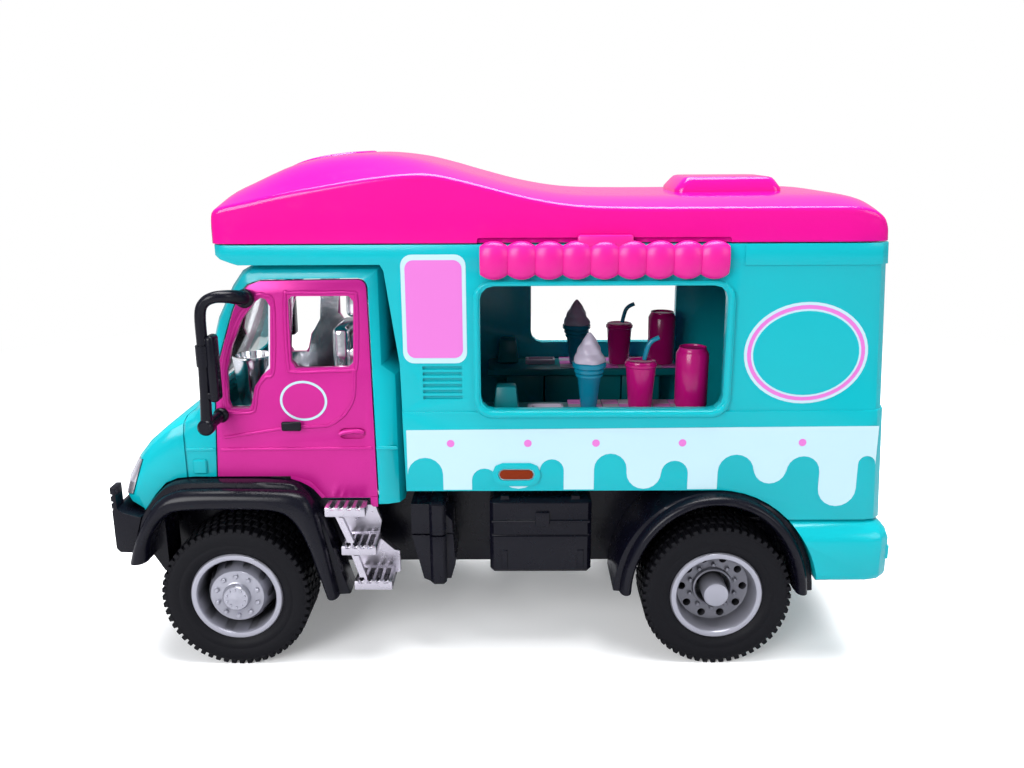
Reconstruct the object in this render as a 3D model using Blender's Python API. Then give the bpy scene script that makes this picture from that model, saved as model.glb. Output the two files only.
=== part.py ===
"""Toy ice cream truck: a die-cast and plastic off-road van with opening cab doors and free-rolling wheels.

The nose points to -X, the serving side of the photograph is -Y, and +Z is up.
The origin is on the ground under the middle of the toy. Sizes below are in millimetres.
"""
import bmesh
import bpy
from math import cos, pi, radians, sin
from mathutils import Matrix, Vector

for old in list(bpy.data.objects):
    bpy.data.objects.remove(old, do_unlink=True)

MM = 0.001
GAP = 0.3                 # air between two pieces that touch on the real toy

# Stance
FRONT_AXLE_X = -57.3
REAR_AXLE_X = 46.4
TYRE_RADIUS = 16.0
TYRE_WIDTH = 12.0
TYRE_FACE_Y = 31.5        # outer sidewall, from the middle of the toy
TREAD_LUGS = 28
LUG_DEPTH = 0.9
BEAD_RADIUS = 10.2        # hole in the tyre
AXLE_RADIUS = 1.5
BORE_CLEARANCE = 0.4      # a turning axle in its bearing

# Cab
CAB_HALF = 28.0
CAB_WALL = 1.6
CAB_CORNER = 3.2          # rounding along hood, pillars and roof
DOOR_THICK = 1.4
ARCH_DEPTH_Y = CAB_HALF - 4.3          # the wheel arches reach in to here
FLARE_FACE_Y = CAB_HALF + 5.8

# Box
BOX_HALF = 30.0
BOX_WALL = 1.6
BOX_CORNER = 4.0          # upright edges
BOX_FLOOR_Z = 40.1
BOX_TOP_Z = 91.5
BOX_REAR_LOW_Z = 33.4
BOX_REAR_X = 80.8         # the rear wall leans forward a little, as moulded walls do
BOX_REAR_TOP_X = 78.2
BOX_FRONT_X = -19.8
OVERCAB_X = -57.1
OVERCAB_Z = 87.6
WINDOW = (-3.9, 45.5, 57.8, 83.4)      # opening: x from, x to, z from, z to
WINDOW_FRAME = (-5.3, 47.0, 56.0, 84.3)
FAR_WINDOW = (7.3, 45.5, 59.4, 83.4)   # the one on the right is shorter
FAR_WINDOW_FRAME = (5.9, 47.0, 57.9, 84.3)
WINDOW_CORNER = 2.8
FRAME_RIM = 0.9
FRAME_PROUD = 0.8
BELT_Z = 57.3
BELT_PROUD = 0.4
GUTTER_Z = 87.3

# Roof
ROOF_BASE_Z = BOX_TOP_Z + GAP
ROOF_WALL = 1.6

# Counter behind each serving window
COUNTER_TOP_Z = 55.2
COUNTER_THICK = 1.8
COUNTER_DEPTH = 13.0
TREAT_Y = BOX_HALF - 9.0


def paint(name, colour, roughness, metallic=0.0):
    """A Principled BSDF with the piece's own finish."""
    material = bpy.data.materials.new(name)
    material.use_nodes = True
    shader = material.node_tree.nodes["Principled BSDF"]
    shader.inputs["Base Color"].default_value = (*colour, 1.0)
    shader.inputs["Roughness"].default_value = roughness
    shader.inputs["Metallic"].default_value = metallic
    return material


TEAL = paint("teal_plastic", (0.01, 0.55, 0.56), 0.25)
PINK = paint("pink_plastic", (1.0, 0.01, 0.35), 0.25)
AWNING_PINK = paint("awning_pink", (1.0, 0.05, 0.42), 0.35)
DOOR_PAINT = paint("magenta_metal", (0.72, 0.01, 0.31), 0.3, 0.4)
BLACK = paint("black_plastic", (0.02, 0.02, 0.025), 0.45)
RUBBER = paint("tyre_rubber", (0.012, 0.012, 0.014), 0.6)
SILVER = paint("silver_plastic", (0.45, 0.45, 0.5), 0.3, 0.6)
STEEL = paint("steel", (0.5, 0.5, 0.52), 0.3, 1.0)
CHROME = paint("chrome_plating", (0.7, 0.7, 0.74), 0.12, 1.0)
CLEAR = paint("clear_plastic", (0.9, 0.95, 0.97), 0.05)
AMBER = paint("marker_amber", (0.4, 0.04, 0.01), 0.25)
CYAN = paint("treat_cyan", (0.012, 0.3, 0.42), 0.3)
CREAM = paint("treat_cream", (0.75, 0.78, 0.82), 0.4)
BERRY = paint("treat_magenta", (0.58, 0.01, 0.22), 0.25)


def finished(name, bm, material):
    """Turn a bmesh that is in millimetres into a named object in metres."""
    bmesh.ops.recalc_face_normals(bm, faces=bm.faces)
    bmesh.ops.scale(bm, vec=(MM, MM, MM), verts=bm.verts)
    mesh = bpy.data.meshes.new(name)
    bm.to_mesh(mesh)
    bm.free()
    mesh.materials.append(material)
    piece = bpy.data.objects.new(name, mesh)
    bpy.context.scene.collection.objects.link(piece)
    return piece


def baked(piece):
    """Apply the piece's modifiers."""
    bpy.context.view_layer.update()
    evaluated = piece.evaluated_get(bpy.context.evaluated_depsgraph_get())
    mesh = bpy.data.meshes.new_from_object(evaluated)
    piece.modifiers.clear()
    piece.data = mesh
    return piece


def boolean(piece, tool, operation):
    """Cut, join or clip the piece with a tool that is used up."""
    step = piece.modifiers.new(operation.lower(), "BOOLEAN")
    step.operation = operation
    step.object = tool
    step.solver = "EXACT"
    baked(piece)
    bpy.data.objects.remove(tool, do_unlink=True)
    return piece


def cut(piece, *tools):
    for tool in tools:
        boolean(piece, tool, "DIFFERENCE")
    return piece


def join(piece, *tools):
    for tool in tools:
        boolean(piece, tool, "UNION")
    return piece


def clip(piece, tool):
    return boolean(piece, tool, "INTERSECT")


def mirrored(piece, name):
    """The same piece on the other side of the toy."""
    mesh = piece.data.copy()
    mesh.transform(Matrix.Scale(-1.0, 4, (0.0, 1.0, 0.0)))
    mesh.flip_normals()
    twin = bpy.data.objects.new(name, mesh)
    bpy.context.scene.collection.objects.link(twin)
    return twin


def placed(points, plane, depth):
    """Lay flat points in a plane: xz faces -Y, yz faces -X, xy faces up."""
    if plane == "xz":
        return [(a, depth, b) for a, b in points]
    if plane == "yz":
        return [(depth, a, b) for a, b in points]
    return [(a, b, depth) for a, b in points]


def loft(name, sections, material, ring=False):
    """Skin a row of closed sections; a ring joins the last to the first, otherwise the ends are capped."""
    bm = bmesh.new()
    loops = [[bm.verts.new(point) for point in section] for section in sections]
    count = len(loops[0])
    pairs = list(zip(loops, loops[1:]))
    if ring:
        pairs.append((loops[-1], loops[0]))
    for near, far in pairs:
        for i in range(count):
            j = (i + 1) % count
            bm.faces.new((near[i], near[j], far[j], far[i]))
    if not ring:
        bm.faces.new(loops[0])
        bm.faces.new(list(reversed(loops[-1])))
    return finished(name, bm, material)


def prism(name, outline, start, end, material, plane="xz"):
    """Extrude an outline between two depths."""
    return loft(name, [placed(outline, plane, start), placed(outline, plane, end)], material)


def block(name, x, y, z, material, bevel=0.0, steps=1):
    """A box given by three spans, with its edges rounded."""
    bm = bmesh.new()
    bmesh.ops.create_cube(bm, size=1.0)
    for vert in bm.verts:
        for axis, span in enumerate((x, y, z)):
            vert.co[axis] = span[0] if vert.co[axis] < 0 else span[1]
    if bevel:
        bmesh.ops.bevel(bm, geom=bm.edges[:], offset=bevel, segments=steps, profile=0.5, affect="EDGES")
    return finished(name, bm, material)


def turned(name, profile, segments, centre, material, axis="y"):
    """Revolve (along, radius) points about an axis through the centre."""
    bm = bmesh.new()
    loops = []
    for along, radius in profile:
        loop = []
        for k in range(segments if radius else 1):
            angle = 2 * pi * k / segments
            side, rise = radius * cos(angle), radius * sin(angle)
            if axis == "y":
                loop.append(bm.verts.new((centre[0] + side, along, centre[1] + rise)))
            else:
                loop.append(bm.verts.new((centre[0] + side, centre[1] + rise, along)))
        loops.append(loop)
    for near, far in zip(loops, loops[1:]):
        for i in range(segments):
            j = i + 1
            quad = [near[i % len(near)], near[j % len(near)], far[j % len(far)], far[i % len(far)]]
            corners = [vert for n, vert in enumerate(quad) if vert not in quad[:n]]
            bm.faces.new(corners)
    for loop in (loops[0], loops[-1]):
        if len(loop) > 2:
            bm.faces.new(loop)
    return finished(name, bm, material)


def sweep(name, route, radius, sides, material):
    """A round bar along a route of straight runs, mitred at the bends."""
    points = [Vector(point) for point in route]
    sections = []
    for i, point in enumerate(points):
        before = (point - points[i - 1]).normalized() if i else (points[1] - point).normalized()
        after = (points[i + 1] - point).normalized() if i + 1 < len(points) else before
        along = (before + after).normalized()
        across = along.cross(Vector((0, 1, 0.001))).normalized()
        lift = across.cross(along)
        stretch = 1.0 / max(0.5, along.dot(after))
        bend = after - before
        aside = bend.normalized() if bend.length > 1e-6 else Vector()
        ring = []
        for k in range(sides):
            offset = radius * (across * cos(2 * pi * k / sides) + lift * sin(2 * pi * k / sides))
            ring.append(point + offset + aside * offset.dot(aside) * (stretch - 1.0))
        sections.append(ring)
    return loft(name, sections, material)


def arc(x, z, radius, start, end, steps, tall=None):
    """Points on a circle, or on an upright ellipse that is so tall; degrees from +X towards +Z."""
    rise = radius if tall is None else tall
    turns = [radians(start + (end - start) * k / steps) for k in range(steps + 1)]
    return [(x + radius * cos(turn), z + rise * sin(turn)) for turn in turns]


def rounded(x0, x1, z0, z1, radius, steps=3):
    """A rectangle with round corners."""
    return (arc(x1 - radius, z0 + radius, radius, -90, 0, steps)
            + arc(x1 - radius, z1 - radius, radius, 0, 90, steps)
            + arc(x0 + radius, z1 - radius, radius, 90, 180, steps)
            + arc(x0 + radius, z0 + radius, radius, 180, 270, steps))


def grown(outline, distance):
    """Move a closed outline outwards, or inwards when the distance is negative."""
    count = len(outline)
    area = sum(outline[i - 1][0] * outline[i][1] - outline[i][0] * outline[i - 1][1] for i in range(count))
    turn = 1.0 if area > 0 else -1.0
    moved = []
    for i, (x, z) in enumerate(outline):
        before = Vector((x - outline[i - 1][0], z - outline[i - 1][1])).normalized()
        after = Vector((outline[(i + 1) % count][0] - x, outline[(i + 1) % count][1] - z)).normalized()
        normal = Vector((before.y + after.y, -before.x - after.x)).normalized() * turn
        edge = Vector((before.y, -before.x)) * turn
        reach = distance / max(0.5, normal.dot(edge))
        moved.append((x + normal.x * reach, z + normal.y * reach))
    return moved


def band(points, width):
    """A closed outline that follows an open line, so wide on its upper side."""
    edge = []
    for i, (x, z) in enumerate(points):
        before = points[max(i - 1, 0)]
        after = points[min(i + 1, len(points) - 1)]
        along = Vector((after[0] - before[0], after[1] - before[1])).normalized()
        edge.append((x - along.y * width, z + along.x * width))
    return points + edge[::-1]


# Chassis: one black moulding, a ladder frame with a raised deck under the box and bearings for both axles.
RAIL_HALF = 17.0
RAIL_THICK = 4.5
RAIL_LOW_Z = 18.0
BEARING_LOW_Z = 12.6
CHASSIS_FRONT_X = -74.0
CHASSIS_REAR_X = 74.0
NOSE_REAR_X = -44.0
CAB_FLOOR_Z = 36.0
RAIL_TOP_Z = 27.0         # behind the deck
NOSE_TOP_Z = 33.0
DECK_Z = BOX_FLOOR_Z - GAP
DECK_FRONT_X = BOX_FRONT_X + 0.7
DECK_REAR_X = 40.0
LADDER_BAYS = ((-71.0, -63.0), (-52.0, -31.0), (-27.0, -2.0), (3.0, 36.0), (53.0, 70.0))


def bearing_outline(axle_x):
    return [(axle_x - 5, RAIL_LOW_Z), (axle_x - 4, BEARING_LOW_Z),
            (axle_x + 4, BEARING_LOW_Z), (axle_x + 5, RAIL_LOW_Z)]


def make_chassis():
    outline = [(CHASSIS_FRONT_X, RAIL_LOW_Z), *bearing_outline(FRONT_AXLE_X), *bearing_outline(REAR_AXLE_X),
               (CHASSIS_REAR_X, RAIL_LOW_Z), (CHASSIS_REAR_X, RAIL_TOP_Z), (DECK_REAR_X, RAIL_TOP_Z),
               (DECK_REAR_X, DECK_Z), (DECK_FRONT_X, DECK_Z), (DECK_FRONT_X, CAB_FLOOR_Z),
               (NOSE_REAR_X, CAB_FLOOR_Z), (NOSE_REAR_X, NOSE_TOP_Z), (CHASSIS_FRONT_X, NOSE_TOP_Z)]
    chassis = prism("chassis", outline, -RAIL_HALF, RAIL_HALF, BLACK)
    inner = RAIL_HALF - RAIL_THICK
    for start, end in LADDER_BAYS:
        cut(chassis, block("bay", (start, end), (-inner, inner), (0.0, 60.0), BLACK))
    for axle_x in (FRONT_AXLE_X, REAR_AXLE_X):
        bore = [(-RAIL_HALF - 1, 0), (-RAIL_HALF - 1, AXLE_RADIUS + BORE_CLEARANCE),
                (RAIL_HALF + 1, AXLE_RADIUS + BORE_CLEARANCE), (RAIL_HALF + 1, 0)]
        cut(chassis, turned("bore", bore, 16, (axle_x, TYRE_RADIUS), BLACK))
    return chassis


make_chassis()

# Front wheel arch flares: a flat inner tier on the cab side and a rounded lip in front of it.
TIER_DEPTH = 2.9          # from the outer face of the lip back to the tier
TIER_OUTER = [(-78.6, 25.0), (-77.4, 30.0), (-75.9, 35.0), (-73.5, 38.3), (-71.0, 41.0), (-68.5, 42.0),
              (-65.0, 42.3), (-44.8, 42.2), (-42.5, 41.2), (-39.9, 38.3), (-37.6, 33.5), (-35.8, 27.2),
              (-32.6, 16.6)]
LIP_OUTER = [(-79.0, 24.7), (-77.6, 29.5), (-75.8, 32.9), (-73.7, 36.5), (-71.6, 39.0), (-69.1, 40.5),
             (-65.5, 41.3), (-45.5, 41.1), (-42.0, 40.5), (-39.6, 38.9), (-37.8, 31.7), (-36.6, 26.0),
             (-34.9, 16.6)]
LIP_INNER = [(-37.5, 16.6), (-39.7, 24.2), (-40.9, 28.3), (-42.4, 31.7), (-43.9, 34.2), (-45.7, 35.8),
             (-47.9, 36.6), (-67.0, 36.6), (-69.4, 35.8), (-71.7, 34.0), (-73.4, 31.3), (-74.5, 28.9),
             (-75.1, 25.0)]
ARCH_OUTLINE = TIER_OUTER + [(-37.2, 8.0), (-78.6, 8.0)]


def arch_tool(sign):
    """Clears what lies inside a front flare."""
    inner, outer = sorted((sign * ARCH_DEPTH_Y, sign * (FLARE_FACE_Y + 5)))
    return prism("arch", grown(ARCH_OUTLINE, GAP), inner, outer, BLACK)


def make_flares():
    tier_face = -FLARE_FACE_Y + TIER_DEPTH
    flare = prism("fender_front_left", TIER_OUTER + LIP_INNER, tier_face, -ARCH_DEPTH_Y - GAP, BLACK)
    lip = LIP_OUTER + LIP_INNER
    steps = ((0.3, tier_face + 0.3), (0.0, tier_face - 0.6), (0.0, -FLARE_FACE_Y + 0.8),
             (0.8, -FLARE_FACE_Y))      # inset and place across
    sections = [placed(grown(lip, -inset) if inset else lip, "xz", across) for inset, across in steps]
    join(flare, loft("lip", sections, BLACK))
    mirrored(flare, "fender_front_right")


make_flares()

# Rear mudguards: half rings over the rear wheels, taller than wide, with a rolled lip in front.
GUARD_X = 45.6
GUARD_Z = 16.3
GUARD_FACE_Y = BOX_HALF + 3.0
GUARD_BACK = (21.5, 23.5)       # half width and height of the part beside the box
GUARD_LIP = (19.9, 23.2)
GUARD_INNER = (17.6, 20.7)
GUARD_STEPS = 14


def guard_arc(size, inset=0.0, start=2.0, end=178.0, steps=GUARD_STEPS):
    return arc(GUARD_X, GUARD_Z, size[0] - inset, start, end, steps, size[1] - inset)


def make_mudguards():
    inner = guard_arc(GUARD_INNER)[::-1]
    rings = (   # outer line, inner line, place across
        (guard_arc(GUARD_BACK), inner, -RAIL_HALF - GAP),
        (guard_arc(GUARD_BACK), inner, -BOX_HALF - BELT_PROUD - GAP),
        (guard_arc(GUARD_LIP), inner, -GUARD_FACE_Y + 0.8),
        (guard_arc(GUARD_LIP, 0.4), guard_arc(GUARD_INNER, -0.3)[::-1], -GUARD_FACE_Y))
    sections = [placed(outer + low, "xz", across) for outer, low, across in rings]
    guard = loft("mudguard_rear_left", sections, BLACK)
    mirrored(guard, "mudguard_rear_right")


make_mudguards()

# Cab: one teal shell over hood, pillars and roof, seen from the side as one outline.
CAB_OUTLINE = [(-76.5, 34.8), (-79.8, 36.0), (-81.0, 38.6), (-79.9, 42.1), (-77.4, 46.4), (-74.6, 49.8),
               (-70.8, 53.0), (-64.9, 56.0), (-63.5, 58.0), (-57.9, 76.3), (-54.4, 83.0), (-52.2, 86.0),
               (-49.8, 87.3), (-23.6, 87.3), (-23.6, 67.0), (-20.8, 65.0), (-20.8, CAB_FLOOR_Z + GAP)]


def cab_form(name, inset, drop=0.0):
    """The cab as a solid, shrunk all round by an inset, its underside lowered by a drop."""
    outline = grown(CAB_OUTLINE, -inset) if inset else CAB_OUTLINE
    outline = [(x, z - drop if i in (0, len(outline) - 1) else z) for i, (x, z) in enumerate(outline)]
    half = CAB_HALF - inset
    corner = max(CAB_CORNER - inset, 1.2)
    # The rounding is a ring of narrower and narrower outlines towards each side.
    sections = []
    for turn in (-90, -45, 0):
        tuck = corner * (1 - cos(radians(turn)))
        shrunk = grown(outline, -tuck)
        ends = [(shrunk[0][0], outline[0][1]), *shrunk[1:-1], (shrunk[-1][0], outline[-1][1])]
        sections.append(placed(ends, "xz", -half + corner - corner * abs(sin(radians(turn)))))
    other = [[(x, -y, z) for x, y, z in section] for section in reversed(sections)]
    return loft(name, sections + other, TEAL)


WINDSCREEN = (-CAB_HALF + 4.0, CAB_HALF - 4.0, 60.3, 81.5)
GRILLE = (-CAB_HALF + 15.5, CAB_HALF - 15.5, 37.6, 46.4)
LAMP_OUTLINE = [(-90.0, 38.6), (-78.7, 38.6), (-76.2, 46.0), (-90.0, 46.0)]
LAMP_INNER_Y = CAB_HALF - 12.5
DOOR_OUTLINE = ([(-60.0, 42.6), (-58.6, 65.0), (-56.4, 71.3), (-54.1, 77.9)]
                + [(-52.6, 81.2), (-50.6, 83.3), (-48.0, 84.2)]
                + arc(-28.4, 82.8, 1.6, 90, 0, 3)
                + [(-26.3, 37.7), (-37.4, 37.7), (-40.4, 41.3), (-44.5, 42.6)])
QUARTER_WINDOW = [(-47.2, 80.5), (-46.4, 79.0), (-47.3, 66.1), (-48.9, 64.8), (-50.7, 62.3), (-51.6, 58.6),
                  (-52.3, 57.5), (-56.0, 57.5), (-56.5, 59.2), (-56.3, 65.6), (-54.9, 70.7), (-52.4, 76.3),
                  (-49.5, 79.9), (-48.2, 80.8)]
SIDE_WINDOW = [(-42.7, 80.3), (-41.9, 81.1), (-30.4, 81.1), (-29.5, 80.0), (-30.1, 67.4), (-31.1, 66.4),
               (-42.0, 66.1), (-42.9, 67.6)]
DOOR_LINE = [(-57.8, 51.1), (-45.7, 53.0), (-35.8, 53.7), (-32.1, 56.2), (-30.3, 60.5), (-30.0, 65.6)]
CREASE_Z = 48.4
CREASE = 0.3              # how far creases and lines stand out
COWL_X = -66.4            # gap between hood and cowl
REPEATER = (-65.0, -62.0, 43.3, 46.5)  # turn signal: x from, x to, z from, z to
GRIP = (-33.8, -28.2, 50.9, 53.2)      # hollow behind the door handle
HANDLE = (-33.2, -28.8, 52.3, 52.9)
LATCH = (-45.5, -41.4, 53.0, 55.0)


def make_cab():
    cab = cut(cab_form("cab_shell", 0.0), cab_form("cavity", CAB_WALL, drop=8.0))
    crease = [(COWL_X, CREASE_Z), (-21.6, CREASE_Z + 0.2), (-21.6, CREASE_Z + 0.6), (COWL_X, CREASE_Z + 0.4)]
    for sign in (-1, 1):
        face = sorted((sign * (CAB_HALF - 0.5), sign * (CAB_HALF + CREASE)))
        join(cab, prism("crease", crease, *face, TEAL))
        face = sorted((sign * (CAB_HALF - 1.0), sign * (CAB_HALF + 0.6)))
        join(cab, block("repeater", REPEATER[:2], face, REPEATER[2:], TEAL, 0.3))
    side = -CAB_HALF + 0.4
    rise = [(side, 41.6), (side, 51.9), (side + 0.9, 54.0), (side + 3.0, 54.8)]
    seam = band(rise + [(-y, z) for y, z in rise[::-1]], 2.0)
    cut(cab, prism("seam", seam, COWL_X - 0.2, COWL_X + 0.2, TEAL, "yz"))
    cut(cab, prism("screen", rounded(*WINDSCREEN, 3.0), -75.0, -45.0, TEAL, "yz"))
    cut(cab, prism("mouth", rounded(*GRILLE, 1.5, 2), -90.0, -70.0, TEAL, "yz"))
    for sign in (-1, 1):
        inner, outer = sorted((sign * (CAB_HALF - 5), sign * (CAB_HALF + 5)))
        cut(cab, prism("doorway", grown(DOOR_OUTLINE, GAP), inner, outer, TEAL), arch_tool(sign))
        inner, outer = sorted((sign * (LAMP_INNER_Y - GAP), sign * (CAB_HALF + 5)))
        cut(cab, prism("lamp", grown(LAMP_OUTLINE, GAP), inner, outer, TEAL))
    return cab


make_cab()


def make_windscreen():
    glass = cut(cab_form("windscreen", 0.3), cab_form("back", 1.3, drop=8.0))
    glass.data.materials[0] = CLEAR
    span = (WINDSCREEN[0] + GAP, WINDSCREEN[1] - GAP, WINDSCREEN[2] + GAP, WINDSCREEN[3] - GAP)
    clip(glass, prism("pane", rounded(*span, 3.0 - GAP), -75.0, -45.0, CLEAR, "yz"))


make_windscreen()


def make_nose():
    grille = cut(cab_form("grille", 0.2), cab_form("back", 1.9, drop=8.0))
    grille.data.materials[0] = BLACK
    span = (GRILLE[0] + GAP, GRILLE[1] - GAP, GRILLE[2] + GAP, GRILLE[3] - GAP)
    clip(grille, prism("frame", rounded(*span, 1.5 - GAP, 2), -90.0, -70.0, BLACK, "yz"))
    across = (GRILLE[0] + 1.4, GRILLE[1] - 1.4)
    for k in range(4):
        low = GRILLE[2] + 1.2 + 1.75 * k
        cut(grille, block("slot", (-90.0, -70.0), across, (low, low + 1.0), BLACK))
    lamp = cut(cab_form("headlamp_left", 0.0), cab_form("back", 2.6, drop=8.0))
    lamp.data.materials[0] = CLEAR
    clip(lamp, prism("lens", LAMP_OUTLINE, -CAB_HALF - 5, -LAMP_INNER_Y, CLEAR))
    mirrored(lamp, "headlamp_right")


make_nose()


def make_doors():
    door = cut(cab_form("door_left", 0.0), cab_form("back", DOOR_THICK, drop=8.0))
    door.data.materials[0] = DOOR_PAINT
    clip(door, prism("panel", DOOR_OUTLINE, -CAB_HALF - 5, -CAB_HALF + 5, DOOR_PAINT))
    for window in (QUARTER_WINDOW, SIDE_WINDOW):
        cut(door, prism("window", window, -CAB_HALF - 5, -CAB_HALF + 5, DOOR_PAINT))
    crease = [(-58.9, CREASE_Z), (-27.0, CREASE_Z + 0.2), (-27.0, CREASE_Z + 0.6), (-58.9, CREASE_Z + 0.4)]
    for outline in (crease, band(DOOR_LINE, 0.4)):
        join(door, prism("bead", outline, -CAB_HALF - CREASE, -CAB_HALF + 0.3, DOOR_PAINT))
    cut(door, prism("grip", rounded(*GRIP, 1.1, 2), -CAB_HALF - 1, -CAB_HALF + 0.6, DOOR_PAINT))
    across = (-CAB_HALF - 0.5, -CAB_HALF + 0.9)
    join(door, block("handle", HANDLE[:2], across, HANDLE[2:], DOOR_PAINT, 0.2))
    mirrored(door, "door_right")
    face = -CAB_HALF - CREASE - GAP
    latch = block("door_latch_left", LATCH[:2], (face - 0.9, face), LATCH[2:], BLACK, 0.25)
    mirrored(latch, "door_latch_right")


make_doors()

# Door mirrors: a black bar on two bosses that stand on the door, with the mirror head on its inner side.
MIRROR_BAR_X = -58.4
MIRROR_BAR_Y = -CAB_HALF - 6.6
MIRROR_BAR_RADIUS = 1.1


def make_mirrors():
    door_face = -CAB_HALF - GAP
    route = [(-50.9, door_face, 80.5), (-50.9, MIRROR_BAR_Y + 3.8, 80.5), (-54.4, MIRROR_BAR_Y + 1.0, 81.6),
             (-57.4, MIRROR_BAR_Y, 80.9), (MIRROR_BAR_X, MIRROR_BAR_Y, 78.6),
             (MIRROR_BAR_X - 0.6, MIRROR_BAR_Y, 55.4)]
    bar = sweep("mirror_left", route, MIRROR_BAR_RADIUS, 8, BLACK)
    head = (MIRROR_BAR_Y - 1.0, MIRROR_BAR_Y + 3.0)
    join(bar, block("head", (-58.0, -55.9), head, (61.7, 75.0), BLACK, 0.7))
    stay = [(-58.3, MIRROR_BAR_Y - 0.6, 56.1), (-57.7, door_face - 0.15, 56.3)]
    join(bar, sweep("stay", stay, 1.5, 8, BLACK))
    mirrored(bar, "mirror_right")


make_mirrors()

# Front bumper: one black bar with a raised, ribbed block at each end, cut round the flares.
BUMPER_HALF = CAB_HALF + 2.0
BUMPER_FRONT_X = -82.5
HORN_TOP_Z = 40.8         # the raised end blocks


def make_bumper_front():
    outline = [(-74.3, 27.5), (-79.0, 26.0), (-81.7, 26.1), (BUMPER_FRONT_X, 27.0), (BUMPER_FRONT_X, 35.6),
               (-82.1, 36.3), (-81.5, 36.2), (-80.3, 35.1), (-77.2, 34.2), (-74.3, 34.2)]
    bumper = prism("front_bumper", outline, -BUMPER_HALF, BUMPER_HALF, BLACK)
    for sign in (-1, 1):
        across = sorted((sign * BUMPER_HALF, sign * (BUMPER_HALF - 3.6)))
        horn = block("horn", (BUMPER_FRONT_X, -81.4), across, (33.0, HORN_TOP_Z), BLACK)
        for k in range(3):
            low = 35.6 + 1.6 * k
            depth = (BUMPER_FRONT_X - 1, BUMPER_FRONT_X + 0.4)
            cut(horn, block("rib", depth, (across[0] - 1, across[1] + 1), (low, low + 0.5), BLACK))
        join(bumper, horn)
        cut(bumper, arch_tool(sign))
    return bumper


make_bumper_front()

# Cab inside: a plated insert with floor, two seats and the dash, and the steering wheel on it.
SEAT_Y = CAB_HALF - 15.0
SEAT_HALF = 7.5
INSERT_FLOOR = 1.8
DASH_TOP_Z = 54.0
WHEEL_X = -54.2           # steering wheel, upright on its column


def make_cab_inside():
    floor_z = CAB_FLOOR_Z + GAP
    insert = block("cab_interior", (-58.0, -23.5), (-CAB_HALF + 5.0, CAB_HALF - 5.0),
                   (floor_z, floor_z + INSERT_FLOOR), CHROME)
    sunk = floor_z + 1.0      # where seats and dash start, inside the floor plate
    seat = [(-44.0, sunk), (-26.4, sunk), (-26.4, 64.0), (-26.0, 80.6), (-27.4, 82.0), (-30.0, 81.0),
            (-30.6, 72.0), (-29.8, 70.0), (-32.2, 68.0), (-32.8, 52.0), (-44.0, 50.0)]
    for sign in (-1, 1):
        join(insert, prism("seat", seat, sign * SEAT_Y - SEAT_HALF, sign * SEAT_Y + SEAT_HALF, CHROME))
    dash = [(-61.0, sunk), (-54.0, sunk), (-53.0, 52.0), (-55.0, DASH_TOP_Z), (-61.0, DASH_TOP_Z)]
    join(insert, prism("dash", dash, -CAB_HALF + 5.5, CAB_HALF - 5.5, CHROME))
    foot = DASH_TOP_Z + GAP
    dish = [(foot, 0.0), (foot, 2.8), (64.9, 4.3), (65.7, 4.3), (65.7, 3.6), (58.0, 2.0), (58.0, 0.0)]
    turned("steering_wheel", dish, 16, (WHEEL_X, -SEAT_Y), CHROME, "z")


make_cab_inside()

# Box body: a teal tub with the ledge over the cab, and on each side a serving window in a raised frame.
MARKER = (-0.2, 6.8, 42.8, 44.8)       # side marker lamp: x from, x to, z from, z to
LOUVRES = (-15.7, -7.7, 60.0, 6, 1.25)  # x from, x to, lowest z, count, pitch
REAR_RIBS_Z = (39.8, 43.7, 47.6)


def rear_x(z):
    """Where the leaning rear wall stands at a height."""
    share = (z - BOX_REAR_LOW_Z) / (BOX_TOP_Z - BOX_REAR_LOW_Z)
    return BOX_REAR_X + (BOX_REAR_TOP_X - BOX_REAR_X) * share


def plan_form(name, inset):
    """The box seen from above, with round upright edges, as a tall solid."""
    half = BOX_HALF - inset
    sections = []
    for z in (20.0, 110.0):
        plan = rounded(OVERCAB_X + inset, rear_x(z) - inset, -half, half, BOX_CORNER - inset)
        sections.append(placed(plan, "xy", z))
    return loft(name, sections, TEAL)


def box_outline(inset):
    """Side view; the lower rear edge follows the mudguard."""
    low = BOX_FLOOR_Z + inset
    arch = guard_arc(GUARD_BACK, -GAP - inset, 90, 46, 6)
    arch = [(x, z) for x, z in arch if z < low]
    return [(BOX_FRONT_X + inset, low), (arch[0][0] - 2.0, low), *arch,
            (arch[-1][0], BOX_REAR_LOW_Z + inset), (90.0, BOX_REAR_LOW_Z + inset)]


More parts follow.
